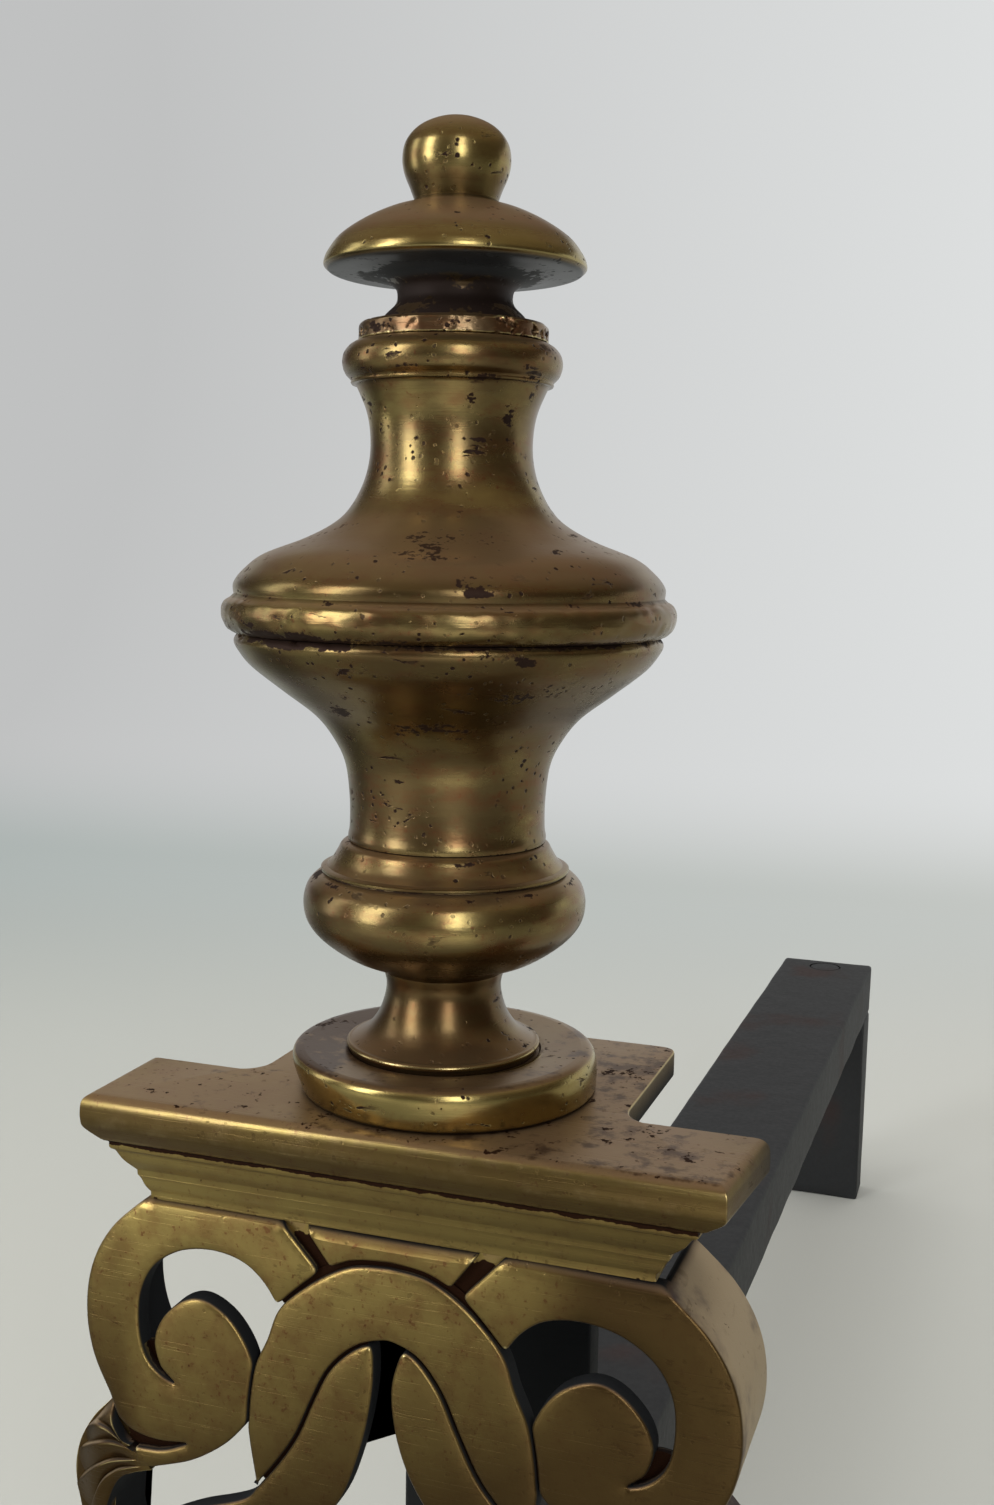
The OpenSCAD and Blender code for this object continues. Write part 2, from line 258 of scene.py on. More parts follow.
@dataclass
class Slab:
    """A flat casting or bar, drawn as a closed outline and seen from above its face.

    The face is slightly pillowed, as filing by hand leaves it, and its edge is rounded.
    """

    outline: Curve
    low: float
    high: float = 0.0
    edge: float = 0.5
    pillow: float = 0.35
    reach: float = 2.6
    under_edge: float = 0.35
    pitch: float = 0.4
    grid: float = 1.2
    sink: Callable[[np.ndarray, np.ndarray, np.ndarray], np.ndarray] | None = None

    def drop(self, away: np.ndarray) -> np.ndarray:
        """Says how far the face has dropped at each distance from the outline."""
        within = np.maximum(self.edge - away, 0)
        tight = self.edge - np.sqrt(np.maximum(self.edge**2 - within**2, 0))
        return tight + self.pillow * np.maximum(1 - away / self.reach, 0) ** 2

    def mesh(self) -> Shape:
        """Builds the slab as a closed mesh, its face upwards."""
        ring = softened(self.outline, self.pitch)
        into = inward(ring)
        bm = bmesh.new()
        start = ring + into * self.under_edge
        chain = chain_of(bm, [(x, y, self.low) for x, y in start], closed=True)
        bmesh.ops.edgeloop_fill(bm, edges=chain)
        order = bm.verts.layers.int["order"]
        levels = [(0.0, self.low + self.under_edge)]
        levels += [(share * self.edge, self.high) for share in (0, 0.12, 0.32, 0.6, 1)]
        upper: dict = {}
        for inset, level in levels:
            points, chain = extruded(bm, chain)
            place = ring + into * inset
            for vert in points:
                vert.co = (*place[vert[order]], level)
            if level == self.high:
                upper.update(dict.fromkeys(points))
        face = bmesh.ops.edgeloop_fill(bm, edges=chain)["faces"]
        upper.update(dict.fromkeys(self.gridded(bm, face, ring)))
        verts = list(upper)
        spots = np.array([v.co.xy for v in verts])
        away = clearance(spots, ring)
        fall = self.drop(away)
        if self.sink:
            fall = fall + self.sink(spots[:, 0], spots[:, 1], away)
        for vert, depth in zip(verts, fall):
            vert.co.z = self.high - depth
        return closed_up(split(bm), 1e-5)

    def gridded(self, bm: Shape, face: list, ring: Curve) -> list:
        """Cuts the face into a grid and returns the grid's points.

        Args:
            bm: The mesh.
            face: The one face that is cut.
            ring: The outline, which says how far the grid goes.

        Returns:
            The points of the cut face.
        """
        low, high = ring.min(0), ring.max(0)
        faces = list(face)
        for axis in (0, 1):
            for at in np.arange(low[axis] + self.grid / 2, high[axis], self.grid):
                geom = [*faces, *dict.fromkeys(e for f in faces for e in f.edges),
                        *dict.fromkeys(v for f in faces for v in f.verts)]
                where, normal = [0.0, 0.0, 0.0], [0.0, 0.0, 0.0]
                where[axis], normal[axis] = at, 1.0
                cut = bmesh.ops.bisect_plane(bm, geom=geom, dist=0.02, plane_co=where,
                                             plane_no=normal)["geom"]
                faces = [g for g in cut if isinstance(g, bmesh.types.BMFace)]
        return list(dict.fromkeys(v for f in faces for v in f.verts))


def upright(bm: Shape) -> Shape:
    """Stands a slab up, so that its face looks to the front."""
    bmesh.ops.rotate(bm, verts=bm.verts, matrix=Matrix.Rotation(math.pi / 2, 3, "X"))
    return bm


def prism(outline: Curve, low: float, high: float) -> Shape:
    """Extrudes a closed outline from one level to another, with sharp edges."""
    bm = bmesh.new()
    chain = chain_of(bm, [(x, y, low) for x, y in outline], closed=True)
    bmesh.ops.edgeloop_fill(bm, edges=chain)
    points, chain = extruded(bm, chain)
    bmesh.ops.translate(bm, verts=points, vec=(0, 0, high - low))
    bmesh.ops.edgeloop_fill(bm, edges=chain)
    return closed_up(split(bm))


def flipped(bm: Shape) -> Shape:
    """Copies a mesh to the other side of the middle."""
    copy = bm.copy()
    bmesh.ops.scale(copy, verts=copy.verts, vec=(-1, 1, 1))
    bmesh.ops.reverse_faces(copy, faces=copy.faces)
    return copy


def block(low: Sequence[float], high: Sequence[float], edge: float, segments: int = 3) -> Shape:
    """Makes a box between two corners, with rounded edges.

    Args:
        low: The lowest corner.
        high: The highest corner.
        edge: The radius of the edges.
        segments: How many faces round an edge has.

    Returns:
        The box.
    """
    bm = bmesh.new()
    bmesh.ops.create_cube(bm, size=1)
    low, high = Vector(low), Vector(high)
    bmesh.ops.scale(bm, verts=bm.verts, vec=high - low)
    bmesh.ops.translate(bm, verts=bm.verts, vec=(low + high) / 2)
    bmesh.ops.bevel(bm, geom=bm.edges, affect="EDGES", offset=edge, segments=segments,
                    profile=0.5, material=-1)
    return bm


def pin(diameter: float, low: Sequence[float], axis: Sequence[float], length: float) -> Shape:
    """Makes a plain round pin, mostly to cut a hole with.

    Args:
        diameter: The pin's diameter.
        low: The middle of its first end.
        axis: Its direction.
        length: Its length.

    Returns:
        The pin.
    """
    bm = bmesh.new()
    turn = Vector((0, 0, 1)).rotation_difference(Vector(axis)).to_matrix().to_4x4()
    bmesh.ops.create_cone(bm, cap_ends=True, segments=48, radius1=diameter / 2,
                          radius2=diameter / 2, depth=length,
                          matrix=Matrix.Translation(Vector(low) + Vector(axis) * length / 2) @ turn)
    return bm


def joined(base: Shape, others: Sequence[Shape], operation: str = "UNION") -> Shape:
    """Adds solids to a solid, or cuts them out of it.

    Args:
        base: The solid.
        others: The solids that are added or cut out.
        operation: UNION or DIFFERENCE.

    Returns:
        One closed solid. The solids given are used up.
    """
    objects = []
    for bm in (base, *others):
        mesh = bpy.data.meshes.new("blank")
        bm.to_mesh(mesh)
        bm.free()
        objects.append(bpy.data.objects.new("blank", mesh))
        bpy.context.scene.collection.objects.link(objects[-1])
    for other in objects[1:]:
        modifier = objects[0].modifiers.new("join", "BOOLEAN")
        modifier.operation, modifier.solver, modifier.object = operation, "MANIFOLD", other
    graph = bpy.context.evaluated_depsgraph_get()
    graph.update()
    result = bmesh.new()
    result.from_mesh(objects[0].evaluated_get(graph).to_mesh())
    for item in objects:
        mesh = item.data
        bpy.data.objects.remove(item)
        bpy.data.meshes.remove(mesh)
    return split(result)


def gather(whole: Shape, part: Shape) -> None:
    """Moves a mesh into another one."""
    mesh = bpy.data.meshes.new("part")
    part.to_mesh(mesh)
    part.free()
    whole.from_mesh(mesh)
    bpy.data.meshes.remove(mesh)


def roughened(bm: Shape, depth: float, size: float) -> Shape:
    """Moves every point a little, as a hammer or a casting leaves a surface.

    Args:
        bm: The mesh, in millimetres.
        depth: The most that a point moves.
        size: The width of one dent.

    Returns:
        The same mesh.
    """
    for vert in bm.verts:
        vert.co += noise.noise_vector(vert.co / size) * depth
    return bm


Marks = Callable[[np.ndarray, np.ndarray], dict[str, np.ndarray]]


def mark_surface(mesh: bpy.types.Mesh, bands: Sequence[Triple],
                 marks: Marks | None) -> None:
    """Stores on each point what its finish needs.

    That is how sharply the surface bends, how far it faces up, where grime and oxide lie,
    where a smoky and a sooty dark are laid, much of both as painted shade, where it was
    rubbed clean, and what was left as cast.

    Args:
        mesh: The mesh, in metres.
        bands: Height, half width and strength of each band of grime, in millimetres.
        marks: Gives further marks from the points' places and normals.
    """
    count = len(mesh.vertices)
    place, normal = np.empty(count * 3), np.empty(count * 3)
    mesh.vertices.foreach_get("co", place)
    mesh.vertex_normals.foreach_get("vector", normal)
    place = place.reshape(-1, 3) / MM - (0, AXIS_Y / MM, PLATE_Z / MM)
    normal = normal.reshape(-1, 3)
    pairs = np.empty(len(mesh.edges) * 2, int)
    mesh.edges.foreach_get("vertices", pairs)
    a, b = pairs.reshape(-1, 2).T
    run = place[b] - place[a]
    bend = ((normal[b] - normal[a]) * run).sum(1) / np.maximum((run**2).sum(1), 1e-6)
    ends, both = np.concatenate([a, b]), np.concatenate([b, a])
    number = np.maximum(np.bincount(ends, minlength=count), 1)
    value = np.bincount(ends, np.tile(np.clip(bend, -4, 4), 2), count) / number
    for _ in range(2):
        value = value / 2 + np.bincount(ends, value[both], count) / number / 2
    stain_and_shade = np.zeros(count)
    for at, width, strength in bands:
        near = np.clip(1 - np.abs(place[:, 2] - at) / width, 0, 1)
        stain_and_shade = np.maximum(stain_and_shade, strength * near)
    values = {"bend": value, "up": normal[:, 2], "stain_and_shade": stain_and_shade}
    for name, more in (marks(place, normal) if marks else {}).items():
        values[name] = np.maximum(values.get(name, 0), more)
    for name, mark in values.items():
        store = mesh.attributes.new(name, "FLOAT", "POINT")
        store.data.foreach_set("value", mark.astype(np.float32))


@dataclass(frozen=True)
class Blot:
    """A ragged dark blot on a turned piece.

    Its azimuth counts from the front towards the right, in degrees, and its height and its
    half width and half height are in millimetres.
    """

    azimuth: float
    height: float
    half_width: float
    half_height: float
    strength: float = 0.75

    def on(self, place: np.ndarray) -> np.ndarray:
        """Says how strong the blot is at each place."""
        turn = np.arctan2(place[:, 0], -place[:, 1]) - math.radians(self.azimuth)
        off = (turn + math.pi) % math.tau - math.pi
        aside = off * np.hypot(place[:, 0], place[:, 1]) / self.half_width
        return self.strength * np.exp(-aside**2 - ((place[:, 2] - self.height)
                                                   / self.half_height) ** 2)


def blotted(blots: Sequence[Blot], smoked_and_shaded: Triple) -> Marks:
    """Gives the marks of a turned piece.

    Args:
        blots: Its blots.
        smoked_and_shaded: The lowest and highest millimetre of its smoky part, mostly painted
            shade, and how dark that is.
    """
    low, high, strength = smoked_and_shaded

    def marks(place: np.ndarray, normal: np.ndarray) -> dict[str, np.ndarray]:
        """Adds the blots up, and lays the smoky darkening, mostly painted shade, with soft ends."""
        inside = ramp(place[:, 2], low, low + 2) * (1 - ramp(place[:, 2], high - 2, high))
        return {"stain_and_shade": np.max([blot.on(place) for blot in blots], 0),
                "smoke_and_shade": strength * inside}

    return marks


def neck_soot_and_shade(place: np.ndarray, normal: np.ndarray) -> dict[str, np.ndarray]:
    """Lays a sooty film under the finial's cap, partly a painted shade, with a painted shadow of
    the neck round its middle, and paints shade on the neck with smoky, sooty and stain colours.

    The cap's rim and the ball are rubbed a little cleaner, and the ball's foot gets a smoky
    darkening, a painted shade. Heights and radii are in millimetres, as on the whole column.
    """
    height, radius = place[:, 2], np.hypot(place[:, 0], place[:, 1])
    neck = ramp(height, 125.4, 126.2) * (1 - ramp(height, 131.6, 132.6))
    under = ramp(height, 131.2, 132.4) * (1 - ramp(height, 133.6, 134.1))
    # Painted shadow of the neck on the cap's underside, darkest round the middle
    neck_shadow = under * (1 - ramp(radius, 11, 19))
    rim = ramp(height, 133.6, 134.6) * (1 - ramp(height, 136.5, 139))
    # Painted shade on the ball's foot
    shade = 0.7 * ramp(height, 144.2, 145) * (1 - ramp(height, 146.5, 150))
    # Painted shade on the neck under the cap, and under the cap a sooty film that is partly painted
    # shade
    return {"soot_and_shade": np.maximum(0.22 * neck, under), "smoke_and_shade": np.maximum(neck, shade),
            "stain_and_shade": np.maximum(0.8 * neck, neck_shadow),
            "polish": np.maximum(0.25 * ramp(height, 144, 145), 0.55 * rim)}


def blotched_disc(place: np.ndarray, normal: np.ndarray) -> dict[str, np.ndarray]:
    """Darkens the disc's top and lays dark blotches on it, most at its left.

    Its edge is rubbed clean.
    """
    top = ramp(normal[:, 2], 0.6, 0.9)
    left = ramp(-place[:, 0], 4, 18)
    return {"blotch": top * (0.32 + 0.5 * left), "smoke_and_shade": 0.5 * top, "polish": 0.6 * (1 - top)}


def plate_soot_and_shade(place: np.ndarray, normal: np.ndarray) -> dict[str, np.ndarray]:
    """Paints shade under and behind the plate in a sooty dark colour, and lays dark blotches
    on its top's right end.

    A smoky darkening, a painted shade, grows towards the plate's right and is strongest on
    the cornice's nose, and the cove is rubbed cleaner.
    """
    # Painted shade: surfaces facing down near the back, and the tail's sides and back below its
    # top, get the sooty dark
    under = ramp(-normal[:, 2], 0.3, 0.8) * ramp(place[:, 1], -8, -5)
    behind = ramp(place[:, 1], -6.5, -5) * ramp(-place[:, 2], 0.1, 0.7)
    top = ramp(normal[:, 2], 0.8, 0.95)
    blotch = 0.2 + 0.28 * ramp(place[:, 0], 4, 50) + 0.12 * ramp(place[:, 1], -20, 20)
    nose = ramp(-place[:, 2], 1.0, 2.2) * (1 - ramp(-place[:, 2], 7.0, 8.0))
    cove = ramp(-place[:, 2], 8.2, 9) * (1 - ramp(place[:, 1], -14, -10))
    # Painted shade: the smoky dark grows towards the right and is strongest on the nose
    return {"soot_and_shade": np.maximum(under, behind), "stain_and_shade": 0.3 * top, "blotch": top * blotch,
            "polish": 0.4 * cove,
            "smoke_and_shade": np.maximum(0.1 + 0.5 * ramp(place[:, 0], -40, 50), 0.8 * nose)}


def front_grime_and_shade(place: np.ndarray, normal: np.ndarray) -> dict[str, np.ndarray]:
    """Paints shade on walls and backs in a sooty dark colour, and lays grime in the grooves
    round the arch.

    The outer flanks are left as cast, and the faces get a smoky darkening towards the lower
    right and at the far left, a painted shade.
    """
    x, z = place[:, 0], place[:, 2]
    front = ramp(-normal[:, 1], 0.3, 0.7)
    outward = np.sign(x) * normal[:, 0]
    flank = ramp(np.abs(x), 43.5, 46) * ramp(outward, 0.2, 0.55) * (1 - front)
    groove = front * ramp(place[:, 1], -23.3, -22.8) * (1 - ramp(np.abs(x), 47, 50))
    # Painted shade: the faces darken towards the lower right, more on the right half
    shade = (0.55 + np.where(x > 0, 0.011, 0.004) * x - 0.02 * (z + 45)
             + 0.5 * ramp(x, 22, 34) * ramp(z, -45, -28))
    # Painted shade: walls and backs below the cornice get the sooty dark, and the outer left edge a
    # smoky dark
    return {"soot_and_shade": (1 - front) * (1 - flank) * ramp(-z, 17.2, 18.2), "flank": flank,
            "stain_and_shade": 1.6 * groove * ramp(-z, 19, 21),
            "smoke_and_shade": np.clip(shade + 0.4 * ramp(-x, 44, 50), 0, 0.95)}


# ---- finishes ------------------------------------------------------------------------


def linear(colour: str) -> tuple[float, float, float, float]:
    """Turns an sRGB hex colour into linear values with full alpha."""
    values = [int(colour[i:i + 2], 16) / 255 for i in (1, 3, 5)]
    return (*(v / 12.92 if v <= 0.04045 else ((v + 0.055) / 1.055) ** 2.4 for v in values), 1.0)


def per_mm(size: float) -> float:
    """Gives a pattern's scale on Object coordinates, from its real size in millimetres."""
    return 1 / (size * MM)


def add(tree: Tree, kind: str, values: dict | None = None,
        output: int | str = 0, **settings: object) -> Socket:
    """Adds a node with its settings, values and links.

    Args:
        tree: The tree that it goes in.
        kind: The node's type.
        values: What goes in each input, a socket to link or a value.
        output: Which output is wanted.
        **settings: The node's own properties.

    Returns:
        That output's socket.
    """
    node = tree.nodes.new(kind)
    for name, value in settings.items():
        setattr(node, name, value)
    for key, value in (values or {}).items():
        if isinstance(value, Socket):
            tree.links.new(value, node.inputs[key])
        else:
            node.inputs[key].default_value = value
    return node.outputs[output]


MATH, RANGE, MIX = "ShaderNodeMath", "ShaderNodeMapRange", "ShaderNodeMix"
NOISE, VORONOI, MAPPING = "ShaderNodeTexNoise", "ShaderNodeTexVoronoi", "ShaderNodeMapping"
FACTOR, FIRST, SECOND, BLENDED = 0, 6, 7, 2


def new_material(name: str) -> tuple[bpy.types.Material, Tree]:
    """Makes an empty node material and returns it with its tree."""
    material = bpy.data.materials.new(name)
    material.use_nodes = True
    material.node_tree.nodes.clear()
    return material, material.node_tree


@dataclass(frozen=True)
class PatinatedBrass:
    """Cast yellow brass, polished long ago, then tarnished by the fire and by handling.

    Rubbed edges stay yellow, the faces go olive and brown in soft spots with specks of
    copper, what faces up grows a pinkish bloom with dark blotches of oxide, and grooves and
    casting pits hold dark grime. Painted shade darkens the rest: a smoky colour on what looks
    down and where marked, a sooty dark on walls, backs and undersides, and grime in tight corners.
    """

    name: str
    slot: Slot
    bright: str = "#E4D498"
    body: str = "#B8A869"
    tarnish: str = "#67533A"
    coppery: str = "#7C5136"
    # The smoky colour, mostly laid as painted shade
    smoked_and_shaded: str = "#544228"
    bloom: str = "#9A7E5E"
    cast_skin: str = "#A8977A"
    cast_dark: str = "#524848"
    blotch: str = "#4C382C"
    grime: str = "#2C1A10"
    # The sooty dark, laid as painted shade on walls, backs and undersides
    soot_and_shade: str = "#242628"
    tarnished: float = 0.88
    spotted: float = 0.5
    bloomed: float = 0.6
    pitted: float = 1.0
    roughness: float = 0.22
    lathe: float = 1.0
    # How glossy the sooty painted shade is, and the finish's specular level
    soot_and_shade_shine: float = 1.0
    stretch: Triple = (0.6, 0.6, 1.5)

    def material(self) -> bpy.types.Material:
        """Builds the material."""
        material, tree = new_material(self.name)
        spot = add(tree, "ShaderNodeTexCoord", output="Object")
        marks = {name: add(tree, "ShaderNodeAttribute", output="Fac", attribute_name=name)
                 for name in ("bend", "up", "stain_and_shade", "soot_and_shade", "flank", "smoke_and_shade", "polish",
                              "blotch")}
        # Broad tarnish runs over some 20 mm, its spots over 3 to 4 mm, drawn out sideways
        # where a piece was wiped round and round
        wiped = add(tree, MAPPING, {"Vector": spot, "Scale": self.stretch})
        broad = add(tree, NOISE, {"Vector": wiped, "Scale": per_mm(20), "Detail": 5.0,
                                  "Roughness": 0.6})
        mottle = add(tree, NOISE, {"Vector": wiped, "Scale": per_mm(3.6), "Detail": 4.0,
                                   "Roughness": 0.6})
        fleck = add(tree, NOISE, {"Vector": spot, "Scale": per_mm(0.8), "Detail": 3.0})
        spread = add(tree, RANGE, {0: broad, 1: 0.24, 2: 0.62, 3: 0.25, 4: self.tarnished},
                     **SMOOTH)
        spots = add(tree, RANGE, {0: mottle, 1: 0.42, 2: 0.68, 4: self.spotted}, **SMOOTH)
        # Specks of dark copper a few tenths of a millimetre wide, thickest in the spots
        specks = add(tree, MATH, {0: mottle, 1: 0.5, 2: fleck}, operation="MULTIPLY_ADD")
        specks = add(tree, RANGE, {0: specks, 1: 0.86, 2: 0.98, 4: 0.8})
        spots = add(tree, MATH, {0: spots, 1: specks}, operation="MAXIMUM")
        dull = add(tree, MATH, {0: 1.0, 1: marks["polish"]}, operation="SUBTRACT")
        brown = add(tree, MATH, {0: spread, 1: dull}, operation="MULTIPLY")
        spots = add(tree, MATH, {0: spots, 1: dull}, operation="MULTIPLY")
        # Painted shade: whatever looks down gets the smoky colour, as if in shadow
        under = add(tree, RANGE, {0: marks["up"], 1: -0.12, 2: -0.8, 4: 0.65}, **SMOOTH)
        smoke_and_shade = add(tree, MATH, {0: marks["smoke_and_shade"], 1: under}, operation="MAXIMUM")
        film = add(tree, RANGE, {0: marks["up"], 1: 0.4, 2: 0.95, 4: self.bloomed}, **SMOOTH)
        rubbed = add(tree, MATH, {0: mottle, 1: 0.6, 2: marks["bend"]},
                     operation="MULTIPLY_ADD")
        worn = add(tree, RANGE, {0: rubbed, 1: 1.0, 2: 2.0, 4: 0.85}, **SMOOTH)
        pits, patches = self.pits(tree, spot, fleck)
        # The grime share holds painted shade in tight corners as well
        grime = self.grime_and_shade_share(tree, marks, fleck, mottle, pits, patches)
        # Blotches of dark oxide, some 4 mm wide, where the mark lets them through
        cloud = add(tree, NOISE, {"Vector": spot, "Scale": per_mm(4.6), "Detail": 5.0,
                                  "Roughness": 0.62})
        cloud = add(tree, MATH, {0: cloud, 1: 2.0, 2: marks["blotch"]}, operation="MULTIPLY_ADD")
        blotch = add(tree, RANGE, {0: cloud, 1: 1.36, 2: 1.72, 4: 0.8}, **SMOOTH)
        dark_cast = add(tree, RANGE, {0: broad, 1: 0.44, 2: 0.64}, **SMOOTH)
        skin = add(tree, MIX, {FACTOR: dark_cast, FIRST: linear(self.cast_skin),
                               SECOND: linear(self.cast_dark)}, BLENDED, **COLOURS)
        colour = linear(self.body)
        for share, over in ((brown, linear(self.tarnish)), (spots, linear(self.coppery)),
                            (smoke_and_shade, linear(self.smoked_and_shaded)), (film, linear(self.bloom)),
                            (marks["flank"], skin), (blotch, linear(self.blotch)),
                            (worn, linear(self.bright)), (grime, linear(self.grime)),
                            (marks["soot_and_shade"], linear(self.soot_and_shade))):
            colour = add(tree, MIX, {FACTOR: share, FIRST: colour, SECOND: over}, BLENDED,
                         **COLOURS)
        rough = self.roughness
        for share, more in ((brown, 0.07), (film, 0.12), (marks["flank"], 0.2), (worn, -0.03),
                            (grime, 0.3), (marks["soot_and_shade"], 0.47 - 0.35 * self.soot_and_shade_shine)):
            rough = add(tree, MATH, {0: share, 1: more, 2: rough}, operation="MULTIPLY_ADD")
        metal = 1.0
        for share, less in ((grime, -0.25), (marks["soot_and_shade"], 0.1 * self.soot_and_shade_shine - 1),
                            (marks["flank"], -0.4), (film, -0.3), (brown, -0.06)):
            metal = add(tree, MATH, {0: share, 1: less, 2: metal}, operation="MULTIPLY_ADD",
                        use_clamp=True)
        normal = add(tree, "ShaderNodeBump", {
            "Height": self.relief(tree, spot, mottle, fleck, pits, patches),
            "Distance": MM, "Strength": 1.0})
        shader = add(tree, "ShaderNodeBsdfPrincipled", {
            "Base Color": colour, "Metallic": metal, "Roughness": rough,
            "Specular IOR Level": 0.5 * self.soot_and_shade_shine, "Normal": normal})
        tree.links.new(shader, tree.nodes.new("ShaderNodeOutputMaterial").inputs["Surface"])
        return material

    def pits(self, tree: Tree, spot: Socket, fleck: Socket) -> tuple[Socket, Socket]:
        """Adds casting pits of 0.2 to 0.5 mm in clusters, and ragged black patches.

        Args:
            tree: The material's tree.
            spot: Object coordinates.
            fleck: Noise under a millimetre, which makes the pits ragged.

        Returns:
            How much each spot is pit, and how much it is patch.
        """
        cluster = add(tree, NOISE, {"Vector": spot, "Scale": per_mm(12), "Detail": 4.0,
                                    "Roughness": 0.6})
        near = add(tree, RANGE, {0: cluster, 1: 0.42, 2: 0.62, 4: self.pitted}, **SMOOTH)
        cell = add(tree, VORONOI, {"Vector": spot, "Scale": per_mm(1.3)}, "Distance")
        ragged_cell = add(tree, MATH, {0: fleck, 1: 0.7, 2: cell}, operation="MULTIPLY_ADD")
        hole = add(tree, RANGE, {0: ragged_cell, 1: 0.5, 2: 0.64, 3: 1.0, 4: 0.0}, **SMOOTH)
        chance = add(tree, RANGE, {0: cell.node.outputs["Color"], 1: 0.5, 2: 0.62})
        hole = add(tree, MATH, {0: hole, 1: chance}, operation="MULTIPLY")
        pits = add(tree, MATH, {0: hole, 1: near}, operation="MULTIPLY", use_clamp=True)
        flat = add(tree, MAPPING, {"Vector": spot, "Scale": (0.55, 0.55, 1.5)})
        ragged = add(tree, NOISE, {"Vector": flat, "Scale": per_mm(3.4), "Detail": 5.0,
                                   "Roughness": 0.62, "Distortion": 0.4})
        patch = add(tree, RANGE, {0: ragged, 1: 0.63, 2: 0.67}, **SMOOTH)
        patches = add(tree, MATH, {0: patch, 1: near}, operation="MULTIPLY", use_clamp=True)
        return pits, patches

    def grime_and_shade_share(self, tree: Tree, marks: dict[str, Socket], fleck: Socket,
                    mottle: Socket, pits: Socket, patches: Socket) -> Socket:
        """Adds up the grime in hollows, bands and pits, and painted shade in corners near
        another piece.

        Args:
            tree: The material's tree.
            marks: The marks stored on the surface.
            fleck: Noise under a millimetre, which breaks the bands' edges up.
            mottle: Noise over a few millimetres, which makes the bands uneven.
            pits: How much each spot is pit.
            patches: How much each spot is patch.

        Returns:
            How much of each spot is grime, with the painted shade of corners.
        """
        hollow = add(tree, RANGE, {0: marks["bend"], 1: -0.35, 2: -1.6, 4: 0.85}, **SMOOTH)
        # Painted shade: ambient occlusion darkens tight corners with the grime colour
        shade = add(tree, "ShaderNodeAmbientOcclusion", {"Distance": 3.5 * MM}, "AO", samples=6)
        corner = add(tree, RANGE, {0: shade, 1: 0.5, 2: 0.15, 4: 0.8}, **SMOOTH)
        uneven = add(tree, MATH, {0: fleck, 1: 0.9, 2: marks["stain_and_shade"]}, operation="MULTIPLY_ADD")
        uneven = add(tree, MATH, {0: mottle, 1: 2.1, 2: uneven}, operation="MULTIPLY_ADD")
        band = add(tree, RANGE, {0: uneven, 1: 2.04, 2: 2.16}, **SMOOTH)
        total = hollow
        for more in (corner, band, pits, patches):
            total = add(tree, MATH, {0: total, 1: more}, operation="MAXIMUM")
        return total

    def relief(self, tree: Tree, spot: Socket, mottle: Socket, fleck: Socket,
               pits: Socket, patches: Socket) -> Socket:
        """Adds up the surface's height in millimetres: filing, grain, scratches and pits.

        Args:
            tree: The material's tree.
            spot: Object coordinates.
            mottle: Noise over a few millimetres.
            fleck: Noise under a millimetre.
            pits: How much each spot is pit.
            patches: How much each spot is patch.

        Returns:
            The height.
        """
        height = 0.0
        for share, much in ((mottle, 0.04), (fleck, 0.01), (pits, -0.09), (patches, -0.05)):
            height = add(tree, MATH, {0: share, 1: much, 2: height}, operation="MULTIPLY_ADD")
        if self.lathe:
            # Marks of the turning tool, drawn 0.35 mm apart so that they show
            rings = add(tree, MAPPING, {"Vector": spot, "Location": (0, -AXIS_Y, 0)})
            flat = add(tree, "ShaderNodeVectorMath", {0: rings, 1: (1, 1, 0)},
                       operation="MULTIPLY")
            radius = add(tree, "ShaderNodeVectorMath", {0: flat}, "Value", operation="LENGTH")
            tall = add(tree, "ShaderNodeSeparateXYZ", {"Vector": spot}, "Z")
            along = add(tree, MATH, {0: radius, 1: tall}, operation="ADD")
            lines = add(tree, NOISE, {"W": along, "Scale": per_mm(0.35), "Detail": 2.0},
                        noise_dimensions="1D")
            return add(tree, MATH, {0: lines, 1: 0.009 * self.lathe, 2: height},
                       operation="MULTIPLY_ADD")
        for turn in (0.5, -0.9):
            # Scratches of wiping and filing, 0.1 mm wide and some 15 mm long
            run = add(tree, MAPPING, {"Vector": spot, "Rotation": (0, turn, 0),
                                      "Scale": (0.01, 0.3, 1)})
            line = add(tree, NOISE, {"Vector": run, "Scale": per_mm(0.2), "Detail": 1.0})
            cut = add(tree, RANGE, {0: line, 1: 0.65, 2: 0.73, 4: -0.014})
            height = add(tree, MATH, {0: cut, 1: height}, operation="ADD")
        return height


